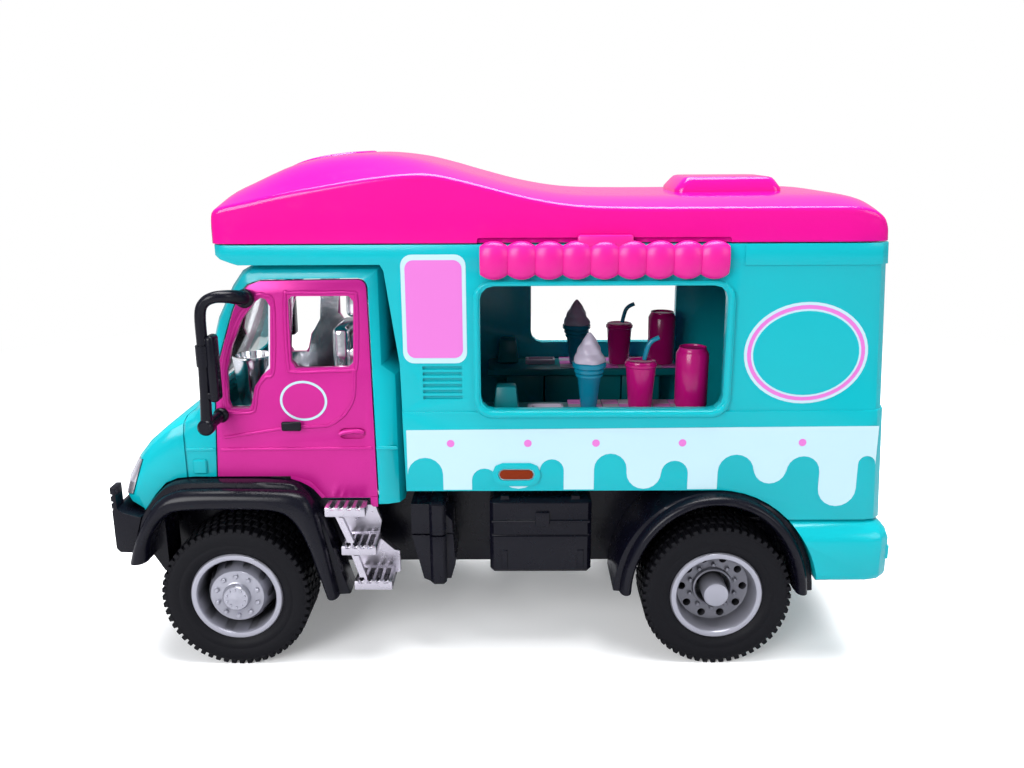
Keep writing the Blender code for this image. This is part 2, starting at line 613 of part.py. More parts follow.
def make_box():
    # The lower walls and the gutter stand a little proud of the walls between them.
    form = plan_form("plan", 0.0)
    low = block("low", (-99, 99), (-99, 99), (10.0, BELT_Z), TEAL)
    join(form, clip(plan_form("belt", -BELT_PROUD), low))
    high = block("high", (WINDOW_FRAME[1] + 1.5, 99), (-99, 99), (GUTTER_Z, 120.0), TEAL)
    join(form, clip(plan_form("gutter", -BELT_PROUD), high))
    upper = [(90.0, BOX_TOP_Z), (OVERCAB_X, BOX_TOP_Z), (OVERCAB_X, 89.8), (OVERCAB_X + 1.6, 88.8),
             (OVERCAB_X + 5.4, OVERCAB_Z), (-23.6, OVERCAB_Z), (-22.9, 86.4), (-21.5, 76.0), (-20.3, 67.2)]
    box = clip(prism("box_body", box_outline(0.0) + upper, -40, 40, TEAL), form)
    wall = BOX_WALL
    hollow = [(90.0, BOX_TOP_Z + 5), (OVERCAB_X + wall, BOX_TOP_Z + 5), (OVERCAB_X + wall, 89.6),
              (-21.0 + wall, 89.6), (-21.4 + wall, 76.0), (-20.3 + wall, 67.2)]
    cut(box, clip(prism("load_space", box_outline(wall) + hollow, -40, 40, TEAL), plan_form("plan", wall)))
    for sign, opening, rim in ((-1, WINDOW, WINDOW_FRAME), (1, FAR_WINDOW, FAR_WINDOW_FRAME)):
        inner, outer = sorted((sign * (BOX_HALF - 5), sign * (BOX_HALF + 5)))
        across = sorted((sign * (BOX_HALF - 1.0), sign * (BOX_HALF + FRAME_PROUD)))
        join(box, prism("frame", rounded(*rim, WINDOW_CORNER + FRAME_RIM), *across, TEAL))
        cut(box, prism("window", rounded(*opening, WINDOW_CORNER), inner, outer, TEAL))
        face = sorted((sign * (BOX_HALF - 0.8), sign * (BOX_HALF + BELT_PROUD + 0.5)))
        join(box, prism("boss", grown(rounded(*MARKER, 0.9, 2), 1.5), *face, TEAL))
        face = sorted((sign * (BOX_HALF + 0.1), sign * (BOX_HALF + 5)))
        cut(box, prism("pocket", grown(rounded(*MARKER, 0.9, 2), GAP), *face, TEAL))
        x0, x1, low, count, pitch = LOUVRES
        face = sorted((sign * (BOX_HALF - 0.6), sign * (BOX_HALF + 5)))
        for k in range(count):
            cut(box, block("louvre", (x0, x1), face, (low + pitch * k, low + pitch * k + 0.7), TEAL))
    for z in REAR_RIBS_Z:
        depth = (rear_x(z) - 1.0, rear_x(z) + 0.9)
        join(box, block("rib", depth, (-BOX_HALF + 7, BOX_HALF - 7), (z - 1.7, z + 1.7), TEAL, 0.7))
    return box


make_box()

# Roof: a pink shell with a swept-back dome over the cab, a flat rear part and a raised hatch.
ROOF_HALF = BOX_HALF
ROOF_STATIONS = [   # x, then above the box: the side crease and the middle; how much narrower than the box
    (-57.0, 4.5, 5.1, 2.2), (-56.4, 6.5, 7.3, 1.0), (-54.6, 7.4, 9.7, 0.3), (-50.4, 8.3, 11.9, 0.0),
    (-42.4, 10.0, 15.4, 0.0), (-34.6, 11.3, 17.1, 0.0), (-26.0, 12.7, 17.6, 0.0),
    (-18.0, 13.6, 16.8, 0.0), (-12.0, 13.5, 15.4, 0.0), (-4.0, 11.7, 13.1, 0.0), (5.0, 9.4, 10.8, 0.0),
    (14.0, 7.8, 9.4, 0.0), (24.0, 7.3, 9.0, 0.0), (66.0, 7.0, 8.9, 0.0), (71.5, 6.3, 8.1, 0.2),
    (75.3, 4.7, 6.1, 0.9), (77.2, 2.1, 3.1, 2.2)]
ROOF_VENT = (37.0, 60.7, 9.5, 11.9)   # x from, x to, half width, top above the box


def roof_form(name, inset, base_z, stations):
    sections = []
    for n, (x, side_z, mid_z, tuck) in enumerate(stations):
        if n == 0:
            x += inset
        if n == len(stations) - 1:
            x -= inset
        w = ROOF_HALF - tuck - inset
        s = BOX_TOP_Z + side_z - inset
        rise = mid_z - side_z
        right = [(w, base_z), (w, s - 1.2), (w - 0.4, s - 0.4), (w - 1.6, s + 0.12 * rise),
                 (w - 4.0, s + 0.45 * rise), (w - 9.0, s + 0.85 * rise), (w - 15.0, s + rise)]
        profile = [(-y, z) for y, z in right] + right[::-1]
        sections.append(placed(profile, "yz", x))
    return loft(name, sections, PINK)


def make_roof():
    roof = roof_form("roof", 0.0, ROOF_BASE_Z, ROOF_STATIONS)
    cut(roof, roof_form("hollow", ROOF_WALL, ROOF_BASE_Z - 5, ROOF_STATIONS[::2]))
    x0, x1, half, rise = ROOF_VENT
    top = BOX_TOP_Z + rise
    tiers = ((0.0, 0.0, 2.0, -3.6), (0.3, 0.2, 2.0, -2.4), (2.5, 1.4, 1.4, 0.0))   # in by x and y, corner, z
    sections = []
    for in_x, in_y, corner, z in tiers:
        plan = rounded(x0 + in_x, x1 - in_x, -half + in_y, half - in_y, corner)
        sections.append(placed(plan, "xy", top + z))
    join(roof, loft("hatch", sections, PINK))
    length = (AWNING_X[0] - 0.6, AWNING_X[1] + 0.6)
    for sign in (-1, 1):
        span = sorted((sign * (ROOF_HALF - 1.0), sign * (ROOF_HALF + 5)))
        cut(roof, block("notch", length, span, (BOX_TOP_Z - 2, BOX_TOP_Z + 2.7), PINK))
    return roof


# Awnings: nine rounded lobes over each serving window, with a tab that hooks under the roof edge.
AWNING_X = (-3.7, 45.3)
AWNING_LOBES = 9
LOBE_STEPS = 3
TAB_X = (15.3, 26.4)


def make_awnings():
    sections = []
    count = AWNING_LOBES * LOBE_STEPS
    back = -BOX_HALF - GAP
    for k in range(count + 1):
        x = AWNING_X[0] + (AWNING_X[1] - AWNING_X[0]) * k / count
        swell = abs(sin(pi * k / LOBE_STEPS))
        profile = [   # across, and above the top of the box
            (back, 1.1), (back - 0.9, 1.2 * swell - 0.1), (back - 1.6 - 0.8 * swell, 0.8 * swell - 1.3),
            (back - 1.8 - 1.0 * swell, -0.4 * swell - 4.3), (back - 1.3, -1.2 * swell - 5.5), (back, -4.9)]
        sections.append(placed([(y, BOX_TOP_Z + z) for y, z in profile], "yz", x))
    awning = loft("awning_left", sections, AWNING_PINK)
    tab_z = (BOX_TOP_Z + 0.5, BOX_TOP_Z + 2.3)
    join(awning, block("tab", TAB_X, (-BOX_HALF - 1.6, -ROOF_HALF + 0.7), tab_z, AWNING_PINK))
    mirrored(awning, "awning_right")


make_roof()
make_awnings()

# Counters behind both windows, and the treats that stand on them.
COUNTER_X = (-4.0, 45.0)
CONE_X = 18.9
CUP_X = 29.9
CAN_X = 40.8
CONE_TOP_Z = 65.7
CUP_TOP_Z = 66.0


def make_counters():
    back = -BOX_HALF + BOX_WALL + GAP
    counter = block("counter_left", COUNTER_X, (back, back + COUNTER_DEPTH),
                    (COUNTER_TOP_Z - COUNTER_THICK, COUNTER_TOP_Z), CREAM, 0.3)
    mirrored(counter, "counter_right")
    base = COUNTER_TOP_Z + GAP
    treats = (   # name, x, (height, radius) profile, finish
        ("cone", CONE_X, [(base, 0), (base, 1.7), (CONE_TOP_Z - 2.5, 2.6), (CONE_TOP_Z - 1.3, 3.6),
                          (CONE_TOP_Z, 3.6), (CONE_TOP_Z, 0)], CYAN),
        ("swirl", CONE_X, [(CONE_TOP_Z + GAP, 0), (CONE_TOP_Z + GAP, 3.2), (CONE_TOP_Z + 1.7, 3.1),
                           (CONE_TOP_Z + 3.9, 2.0), (CONE_TOP_Z + 5.9, 0.9), (CONE_TOP_Z + 6.4, 0)], CREAM),
        ("cup", CUP_X, [(base, 0), (base, 2.5), (CUP_TOP_Z, 3.4), (CUP_TOP_Z, 0)], BERRY),
        ("can", CAN_X, [(base, 0), (base, 3.1), (56.4, 3.5), (67.9, 3.5), (68.9, 3.0), (68.9, 0)], BERRY))
    for kind, x, profile, finish in treats:
        treat = turned(f"{kind}_left", profile, 12, (x, -TREAT_Y), finish, "z")
        mirrored(treat, f"{kind}_right")
    route = [(CUP_X + 0.7, -TREAT_Y, CUP_TOP_Z + GAP), (CUP_X + 1.5, -TREAT_Y, CUP_TOP_Z + 3.2),
             (CUP_X + 3.8, -TREAT_Y, CUP_TOP_Z + 4.9)]
    straw = sweep("straw_left", route, 0.5, 6, CYAN)
    mirrored(straw, "straw_right")


make_counters()

# Boarding steps below each door: three pressed treads on slanted stringers.
STEP_TREADS = ((-36.8, -28.3, 35.3), (-33.7, -26.3, 26.6), (-31.3, -23.2, 18.6))   # x from, x to, underside z
TREAD_THICK = 2.1
STEP_OUT_Y = CAB_HALF + 5.0
STEP_IN_Y = CAB_HALF - 3.5
SILL_Z = 35.7             # underside of the cab behind the wheel arch


def make_steps():
    risers = ([(-35.4, 36.0), (-27.3, 36.0), (-26.0, 31.5), (-26.8, 27.0), (-33.6, 27.0)],
              [(-32.6, 27.4), (-26.4, 27.4), (-23.4, 24.6), (-22.3, 24.4), (-22.3, 19.4), (-31.0, 19.0)])
    back = (-STEP_IN_Y - 1.5, -STEP_IN_Y)
    steps = prism("steps_left", risers[0], *back, SILVER)
    join(steps, prism("riser", risers[1], *back, SILVER))
    for x0, x1, low in STEP_TREADS:
        tread = block("tread", (x0, x1), (-STEP_OUT_Y, -STEP_IN_Y), (low, low + TREAD_THICK), SILVER)
        across = (-STEP_OUT_Y + 1.4, -STEP_IN_Y - 2.2)
        for k in range(3):
            slot_x = x0 + 1.5 + (x1 - x0 - 1.8) * k / 3
            cut(tread, block("slot", (slot_x, slot_x + 1.2), across, (low - 1, low + 4), SILVER))
        join(steps, tread)
    room = (-CAB_HALF - GAP, -STEP_IN_Y + 5.0)
    cut(steps, block("sill_room", (-60.0, -10.0), room, (SILL_Z - GAP, 60.0), SILVER))
    mirrored(steps, "steps_right")


make_steps()

# Side gear between the axles: a tank in three parts and a tool box, both on the chassis rails.
CHEST_DEPTH = 9.2
LID_LINE_Z = 28.0


def make_side_gear():
    side = -RAIL_HALF - GAP
    front = [(-19.3, 36.2), (-15.0, 36.2), (-15.0, 18.0), (-16.9, 18.9), (-19.3, 29.2)]
    rear = [(-12.3, 34.0), (-10.6, 32.2), (-10.0, 22.0), (-11.0, 18.6), (-12.3, 18.6)]
    tank = prism("tank_left", front, side - 10.8, side, BLACK)
    join(tank, block("middle", (-15.4, -11.9), (side - 11.8, side), (17.6, 36.9), BLACK, 0.7))
    join(tank, prism("end", rear, side - 10.2, side, BLACK))
    cut(tank, block("split", (-20.0, -9.0), (side - 14.0, side - 9.8), (29.0, 29.4), BLACK))
    mirrored(tank, "tank_right")
    face = side - CHEST_DEPTH
    chest = block("toolbox_left", (-2.5, 19.6), (face, side), (19.3, 36.6), BLACK, 0.9)
    line = block("lid_line", (-3.0, 20.0), (face - 1.0, face + 0.4), (LID_LINE_Z, LID_LINE_Z + 0.4), BLACK)
    cut(chest, line)
    reliefs = (((-2.1, 19.2), (31.2, 31.8), 0.3), ((7.4, 10.4), (30.6, 33.8), 0.7),
               ((0.1, 1.3), (20.6, 24.8), 0.3), ((16.5, 17.9), (20.6, 24.8), 0.3))   # x, z, how far proud
    for x, z, proud in reliefs:
        join(chest, block("relief", x, (face - proud, face + 0.5), z, BLACK))
    for x in (0.8, 16.1):
        join(chest, block("hinge", (x - 0.9, x + 0.9), (face + 0.6, face + 2.4), (36.2, 37.2), BLACK))
    mirrored(chest, "toolbox_right")


make_side_gear()

# Rear bumper: a teal block under the box with a rolled top edge, slotted over the chassis rails.
REAR_BUMPER_X = 81.9
REAR_BUMPER_HALF = BOX_HALF + 3.0
REAR_LAMP_X = 82.5
REAR_BUMPER_SHAPE = (     # z, and how far in from the full size
    (20.0, 1.4), (20.6, 0.4), (21.6, 0.0), (29.3, 0.0), (30.6, 0.5), (31.9, 1.5), (32.7, 2.6), (33.0, 3.6))


def make_bumper_rear():
    half = REAR_BUMPER_HALF
    sections = []
    for z, inset in REAR_BUMPER_SHAPE:
        plan = rounded(40.0, REAR_BUMPER_X - inset, -half + inset, half - inset, 5.0 - inset)
        sections.append(placed(plan, "xy", z))
    bumper = loft("rear_bumper", sections, TEAL)
    front = guard_arc(GUARD_BACK, -GAP, 46, 8, 7)
    reach = [*front, (69.0, 10.0), (90.0, 10.0), (90.0, 40.0), (front[0][0], 40.0)]
    clip(bumper, prism("reach", reach, -40, 40, TEAL))
    cut(bumper, block("frame_slot", (50.0, CHASSIS_REAR_X + GAP), (-RAIL_HALF - GAP, RAIL_HALF + GAP),
                      (10.0, RAIL_TOP_Z + GAP), TEAL))
    for sign in (-1, 1):
        across = sorted((sign * (half - 8.0), sign * (half - 2.2)))
        join(bumper, block("lamp", (REAR_BUMPER_X - 3.0, REAR_LAMP_X), across, (24.5, 27.6), TEAL))
    return bumper


make_bumper_rear()


def make_marker_lamps():
    face = -BOX_HALF - 0.1 - GAP
    lamp = prism("marker_lamp_left", rounded(*MARKER, 0.9, 2), face - 0.5, face, AMBER)
    mirrored(lamp, "marker_lamp_right")


make_marker_lamps()


# Wheels: rubber tyres on silver rims, two and two on steel axles that turn in the chassis.
def make_tyre(name, axle_x, sign):
    """Each lug takes three stations round the tyre: the notch before it, its start and its end."""
    outer = TYRE_FACE_Y
    inner = TYRE_FACE_Y - TYRE_WIDTH
    middle = (outer + inner) / 2
    half = TYRE_WIDTH / 2
    sections = []
    for k in range(TREAD_LUGS * 3):
        crown = TYRE_RADIUS if k % 3 else TYRE_RADIUS - LUG_DEPTH
        angle = 2 * pi * (k // 3 + (0.0, 0.22, 0.78)[k % 3]) / TREAD_LUGS
        profile = [(middle - half + 1.0, BEAD_RADIUS), (middle - half, 13.4), (middle - half + 1.4, crown),
                   (middle + half - 1.4, crown), (middle + half, 13.4), (middle + half - 1.0, BEAD_RADIUS)]
        side, rise = cos(angle), sin(angle)
        sections.append([(axle_x + r * side, sign * y, TYRE_RADIUS + r * rise) for y, r in profile])
    return loft(name, sections, RUBBER, ring=True)


RIM_RADIUS = BEAD_RADIUS - GAP
RIM_INNER_Y = TYRE_FACE_Y - TYRE_WIDTH + 0.6
HUB_BORE = AXLE_RADIUS + GAP
BORE_DEPTH = 7.0          # blind, from the inner face of the rim
SPOKE_HOLES = 10


def make_rim(name, axle_x, sign, profile, hole_spot, hole_size):
    """A turned rim with a ring of holes sunk into its face."""
    rim = turned(name, [(sign * y, r) for y, r in profile], 18, (axle_x, TYRE_RADIUS), SILVER)
    face_y, circle = hole_spot
    for k in range(SPOKE_HOLES):
        angle = 2 * pi * (k + 0.5) / SPOKE_HOLES
        spot = (axle_x + circle * cos(angle), TYRE_RADIUS + circle * sin(angle))
        top, floor = sign * (face_y + 3.0), sign * (face_y - 1.4)
        pocket = [(top, 0), (top, hole_size), (floor, hole_size), (floor, 0)]
        cut(rim, turned("hole", pocket, 5, spot, SILVER))
    start, end = sign * (RIM_INNER_Y - 1), sign * (RIM_INNER_Y + BORE_DEPTH)
    bore = [(start, 0), (start, HUB_BORE), (end, HUB_BORE), (end, 0)]
    return cut(rim, turned("bore", bore, 10, (axle_x, TYRE_RADIUS), SILVER))


RIM_FACE_Y = TYRE_FACE_Y - 0.4
FRONT_RIM = [(RIM_INNER_Y, 0), (RIM_INNER_Y, RIM_RADIUS), (RIM_FACE_Y, RIM_RADIUS), (RIM_FACE_Y, 8.6),
             (RIM_FACE_Y - 2.6, 8.1), (RIM_FACE_Y - 1.4, 6.3), (RIM_FACE_Y - 0.6, 5.9),
             (RIM_FACE_Y - 0.6, 3.1), (RIM_FACE_Y + 0.3, 2.7), (RIM_FACE_Y + 0.3, 0)]
REAR_RIM = [(RIM_INNER_Y, 0), (RIM_INNER_Y, RIM_RADIUS), (RIM_FACE_Y, RIM_RADIUS), (RIM_FACE_Y, 8.7),
            (27.4, 7.9), (26.8, 4.6), (27.4, 3.2), (RIM_FACE_Y, 2.9), (RIM_FACE_Y, 0)]


def make_axle(kind, axle_x, profile, hole_spot, hole_size):
    reach = RIM_INNER_Y + BORE_DEPTH - 0.5
    pin = [(-reach, 0), (-reach, AXLE_RADIUS), (reach, AXLE_RADIUS), (reach, 0)]
    turned(f"axle_{kind}", pin, 16, (axle_x, TYRE_RADIUS), STEEL)
    for side, sign in (("left", -1), ("right", 1)):
        make_tyre(f"tyre_{kind}_{side}", axle_x, sign)
        make_rim(f"rim_{kind}_{side}", axle_x, sign, profile, hole_spot, hole_size)


make_axle("front", FRONT_AXLE_X, FRONT_RIM, (29.6, 7.3), 0.8)
make_axle("rear", REAR_AXLE_X, REAR_RIM, (27.3, 6.2), 0.95)
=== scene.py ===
"""Looks of a toy ice cream truck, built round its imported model."""

import bmesh
import bpy
from math import cos, pi, radians, sin, sqrt
from mathutils import Matrix, Vector


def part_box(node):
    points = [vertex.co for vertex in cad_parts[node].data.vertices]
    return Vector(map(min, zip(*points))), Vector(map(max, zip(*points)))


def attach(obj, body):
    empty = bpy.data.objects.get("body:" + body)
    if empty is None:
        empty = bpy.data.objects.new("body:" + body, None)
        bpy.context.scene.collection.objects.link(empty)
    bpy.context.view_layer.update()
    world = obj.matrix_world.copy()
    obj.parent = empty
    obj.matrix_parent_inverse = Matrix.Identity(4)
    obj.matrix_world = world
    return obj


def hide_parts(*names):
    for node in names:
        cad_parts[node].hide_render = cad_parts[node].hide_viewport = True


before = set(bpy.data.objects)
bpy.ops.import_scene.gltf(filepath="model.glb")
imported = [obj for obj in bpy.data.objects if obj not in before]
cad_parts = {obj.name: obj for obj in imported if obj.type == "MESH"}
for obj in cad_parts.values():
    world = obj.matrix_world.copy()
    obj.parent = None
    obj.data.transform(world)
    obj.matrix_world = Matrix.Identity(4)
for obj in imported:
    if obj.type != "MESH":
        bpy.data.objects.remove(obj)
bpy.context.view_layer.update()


# Camera and studio
# The camera looks at the toy's left side from a little above. The toy stands on a sweep of white paper with
# three soft boxes round it, and the world fills the shadows.
MM = 0.001
CAMERA_AT = (3.3, -212.0, 110.9)
CAMERA_DOWN = 14.69
CAMERA_TURN = 0.26
CAMERA_ROLL = -0.26
FOCAL_PIXELS = 921.7
FRAME_PIXELS = 1024
SENSOR = 36.0
NEAREST = 5.0
FLOOR_SIZE = 6.0            # metres
SHADOW_REACH = (0.14, 0.4)  # metres: plain paper up to the first, full white from the second
LAMPS_AIM = (0, 0, 0.05)    # metres
LAMPS = (   # name, place in metres, size, watts
    ("top_box", (0.03, 0.05, 0.62), 0.5, 10.5),
    ("front_box", (-0.4, -0.6, 0.36), 0.4, 5.0),
    ("side_box", (0.55, -0.45, 0.3), 0.3, 1.0))


def metres(values):
    """Millimetres turned into metres."""
    return [value * MM for value in values]


def placed(name, data):
    """A new object in the scene."""
    made = bpy.data.objects.new(name, data)
    bpy.context.scene.collection.objects.link(made)
    return made


camera = placed("camera", bpy.data.cameras.new("camera"))
camera.location = metres(CAMERA_AT)
aim = Matrix.Rotation(radians(CAMERA_TURN), 3, "Z") @ Matrix.Rotation(radians(90 - CAMERA_DOWN), 3, "X")
camera.rotation_euler = (aim @ Matrix.Rotation(radians(CAMERA_ROLL), 3, "Z")).to_euler()
camera.data.sensor_width = SENSOR
camera.data.lens = SENSOR * FOCAL_PIXELS / FRAME_PIXELS
camera.data.clip_start = NEAREST * MM
bpy.context.scene.camera = camera
bpy.context.scene.view_settings.view_transform = "Standard"


class Signal:
    """A node socket that plain arithmetic can be written on."""

    def __init__(self, graph, socket):
        self.graph = graph
        self.socket = socket

    def math(self, operation, *others):
        values = dict(enumerate((self, *others)))
        return self.graph.node("ShaderNodeMath", {"operation": operation}, values)

    def __add__(self, other):
        return self.math("ADD", other)

    def __mul__(self, other):
        return self.math("MULTIPLY", other)

    __radd__ = __add__
    __rmul__ = __mul__


class Graph:
    """A node tree while it is being wired."""

    def __init__(self, tree):
        self.tree = tree

    def node(self, kind, settings=None, values=None, out=0):
        """Add a node: first its settings, then the values or links of its sockets."""
        made = self.tree.nodes.new(kind)
        for key, value in (settings or {}).items():
            setattr(made, key, value)
        for key, value in (values or {}).items():
            self.feed(made.inputs[key], value)
        return Signal(self, made.outputs[out])

    def feed(self, socket, value):
        if isinstance(value, Signal):
            self.tree.links.new(value.socket, socket)
        else:
            socket.default_value = value


class Finish(Graph):
    """One material while it is being wired, with the name of the model's slot that it is meant for."""

    def __init__(self, name, slot=None):
        self.material = bpy.data.materials.new(name)
        self.material.use_nodes = True
        super().__init__(self.material.node_tree)
        self.shader = self.tree.nodes["Principled BSDF"]
        self.slot = slot or name

    def place(self):
        return self.node("ShaderNodeTexCoord", out="Object")

    def noise(self, per_mm, detail=2.0, rough=0.5):
        """Noise with about so many grains to the millimetre."""
        values = {"Vector": self.place(), "Scale": per_mm / MM, "Detail": detail, "Roughness": rough}
        return self.node("ShaderNodeTexNoise", {}, values, out="Fac")

    def ramp(self, signal, low, high):
        """0 below low, 1 above high."""
        return self.node("ShaderNodeMapRange", {}, {"Value": signal, "From Min": low, "From Max": high})

    def mix(self, share, first, second):
        """A colour between two others."""
        return self.node("ShaderNodeMix", {"data_type": "RGBA"}, {0: share, 6: first, 7: second}, out=2)

    def bump(self, height, depth_mm):
        values = {"Height": height, "Distance": depth_mm * MM, "Strength": 1.0}
        self.set(Normal=self.node("ShaderNodeBump", {}, values))

    def set(self, **values):
        for key, value in values.items():
            self.feed(self.shader.inputs[key.replace("_", " ")], value)


def tint(colour, by):
    """A darker or lighter version of a colour."""
    return tuple(min(1.0, part * by) for part in colour) + (1.0,)


def white_sweep():
    """White paper: plain where the toy's shadow falls, and full white to the camera farther out."""
    finish = Finish("white_sweep")
    seen = finish.node("ShaderNodeLightPath", out="Is Camera Ray")
    away = finish.node("ShaderNodeVectorMath", {"operation": "LENGTH"}, {0: finish.place()}, out="Value")
    finish.set(Roughness=0.6, Base_Color=finish.mix(seen, (0.45, 0.45, 0.47, 1), (0.94, 0.94, 0.95, 1)),
               Emission_Color=finish.mix(seen, (0, 0, 0, 1), (0.16, 0.16, 0.16, 1)), Emission_Strength=1.0,
               Specular_IOR_Level=0.1)
    paper = Signal(finish, finish.shader.outputs[0])
    white = finish.node("ShaderNodeEmission", {}, {"Color": (1, 1, 1, 1)})
    share = seen * finish.ramp(away, *SHADOW_REACH)
    finish.feed(finish.tree.nodes["Material Output"].inputs["Surface"],
                finish.node("ShaderNodeMixShader", {}, {0: share, 1: paper, 2: white}))
    return finish.material


def studio():
    bm = bmesh.new()
    bmesh.ops.create_grid(bm, x_segments=1, y_segments=1, size=FLOOR_SIZE / 2)
    mesh = bpy.data.meshes.new("floor")
    bm.to_mesh(mesh)
    bm.free()
    mesh.materials.append(white_sweep())
    floor = placed("floor", mesh)
    world = bpy.data.worlds.new("studio")
    bpy.context.scene.world = world
    world.use_nodes = True
    sky = Graph(world.node_tree)
    background = sky.tree.nodes["Background"]
    background.inputs["Color"].default_value = (0.9, 0.95, 1.0, 1)
    background.inputs["Strength"].default_value = 0.42
    seen, through = (sky.node("ShaderNodeLightPath", out=f"Is {ray} Ray") for ray in ("Camera", "Transmission"))
    white = sky.node("ShaderNodeBackground", {}, {"Color": (1, 1, 1, 1)})
    layers = {0: seen.math("MAXIMUM", through), 1: Signal(sky, background.outputs[0]), 2: white}
    sky.feed(sky.tree.nodes["World Output"].inputs["Surface"], sky.node("ShaderNodeMixShader", {}, layers))
    for name, place, size, watts in LAMPS:
        lamp = placed(name, bpy.data.lights.new(name, "AREA"))
        lamp.data.size = size
        lamp.data.energy = watts
        lamp.location = place
        lamp.rotation_euler = (Vector(LAMPS_AIM) - Vector(place)).to_track_quat("-Z", "Y").to_euler()


studio()


# Black underparts
# Chassis, grille, arch flares, mudguards, bumper, tanks and tool boxes are satin black plastic mouldings,
# clipped to each other. Most keep their form from the frame and get rounded edges here; the arches and the
# mudguards are drawn anew.
SIDES = (("left", -1), ("right", 1))
FLAT_ANGLE = 1.0            # degrees
SHARP_ANGLE = 28


def link_piece(name, mesh, finish, body="root", nodes=(), slot=None):
    """Put a mesh in the scene as a piece that rides on a body, and hide the CAD nodes it stands for; the slot
    is not used.
    """
    piece = placed(name, mesh)
    mesh.materials.clear()
    mesh.materials.append(finish.material)
    slot = slot or finish.slot
    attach(piece, body)
    if nodes:
        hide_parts(*nodes)


def form(node, mesh, finish, body="root", slot=None):
    """A piece that stands for a CAD node."""
    link_piece(f"{node}_form", mesh, finish, body, (node,), slot)


def mesh_of(name, bm, smooth=35, turned=True):
    """The finished mesh, smooth where its faces meet below the angle, with its faces turned outward."""
    if turned:
        bmesh.ops.recalc_face_normals(bm, faces=bm.faces)
    for face in bm.faces:
        face.smooth = True
    mesh = bpy.data.meshes.new(name)
    bm.to_mesh(mesh)
    bm.free()
    mesh.set_sharp_from_angle(angle=radians(smooth))
    return mesh


def dressed(node, finish, body="root", edge=0.25, steps=2, shift=None, slot=None):
    """A CAD node's own form with rounded edges and smooth shading; a shift moves its points a little."""
    bm = bmesh.new()
    bm.from_mesh(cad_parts[node].data)
    bmesh.ops.remove_doubles(bm, verts=bm.verts, dist=1e-6)
    bmesh.ops.dissolve_limit(bm, angle_limit=radians(FLAT_ANGLE), verts=bm.verts, edges=bm.edges)
    inner = [line for line in bm.edges if len(line.link_faces) == 2]
    sharp = [line for line in inner if line.calc_face_angle(0) > radians(SHARP_ANGLE)]
    bmesh.ops.bevel(bm, geom=sharp, offset=edge * MM, segments=steps, profile=0.6, affect="EDGES",
                    clamp_overlap=True)
    for vert in bm.verts if shift else ():
        vert.co += Vector(shift(vert.co / MM)) * MM
    form(node, mesh_of(node, bm, 38, False), finish, body, slot)


def moulded(name, colour, rough, grain=0.004, shade=0.06, shine=0.3, slot=None):
    """Moulded plastic: a faint orange peel, slight cloudiness and handling marks in the gloss."""
    finish = Finish(name, slot)
    cloud = finish.noise(0.06, 3.0)
    peel = finish.noise(1.6, 2.0)
    marks = finish.ramp(finish.noise(0.35, 6.0, 0.7), 0.55, 0.75)
    finish.set(Base_Color=finish.mix(cloud, tint(colour, 1 - shade), tint(colour, 1 + shade)),
               Roughness=rough + 0.12 * marks, Specular_IOR_Level=shine)
    finish.bump(peel, grain)
    return finish


BLACK = (0.003, 0.003, 0.007)
black_plastic = moulded("black_plastic", BLACK, 0.26, 0.008, shine=0.2)
BLACK_PARTS = (   # node, edge rounding in mm
    ("chassis", 0.3), ("front_bumper", 0.25), ("tank_left", 0.25), ("tank_right", 0.25), ("toolbox_left", 0.15),
    ("toolbox_right", 0.15), ("grille", 0.15))
for part, rounding in BLACK_PARTS:
    dressed(part, black_plastic, edge=rounding)


def skin(name, sections, smooth=35, closed=False):
    """A skin over a row of sections in mm, with a cap at each end or, when closed, joined end to end."""
    bm = bmesh.new()
    loops = [[bm.verts.new(metres(point)) for point in section] for section in sections]
    count = len(loops[0])
    for near, far in zip(loops, loops[1:] + loops[:1] if closed else loops[1:]):
        for i in range(count):
            j = (i + 1) % count
            bm.faces.new((near[i], near[j], far[j], far[i]))
    for cap in () if closed else (loops[0], loops[-1]):
        bm.faces.new(cap)
    return mesh_of(name, bm, smooth)


def slab(name, outline, sign, near, far):
    """An (x, z) outline drawn out between two distances from the middle, in mm."""
    return skin(name, [[(x, sign * y, z) for x, z in outline] for y in (near, far)])


def lump(name, size, at, bevel, steps=2, taper=1.0):
    """A rounded block in mm, narrower at its top by the taper."""
    bm = bmesh.new()
    bmesh.ops.create_cube(bm, size=1.0)
    for vert in bm.verts:
        share = taper if vert.co.z > 0 else 1.0
        vert.co = Vector((vert.co.x * size[0] * share + at[0], vert.co.y * size[1] * share + at[1],
                          vert.co.z * size[2] + at[2])) * MM
    bmesh.ops.bevel(bm, geom=bm.edges[:], offset=bevel * MM, segments=steps, profile=0.5, affect="EDGES")
    return mesh_of(name, bm)


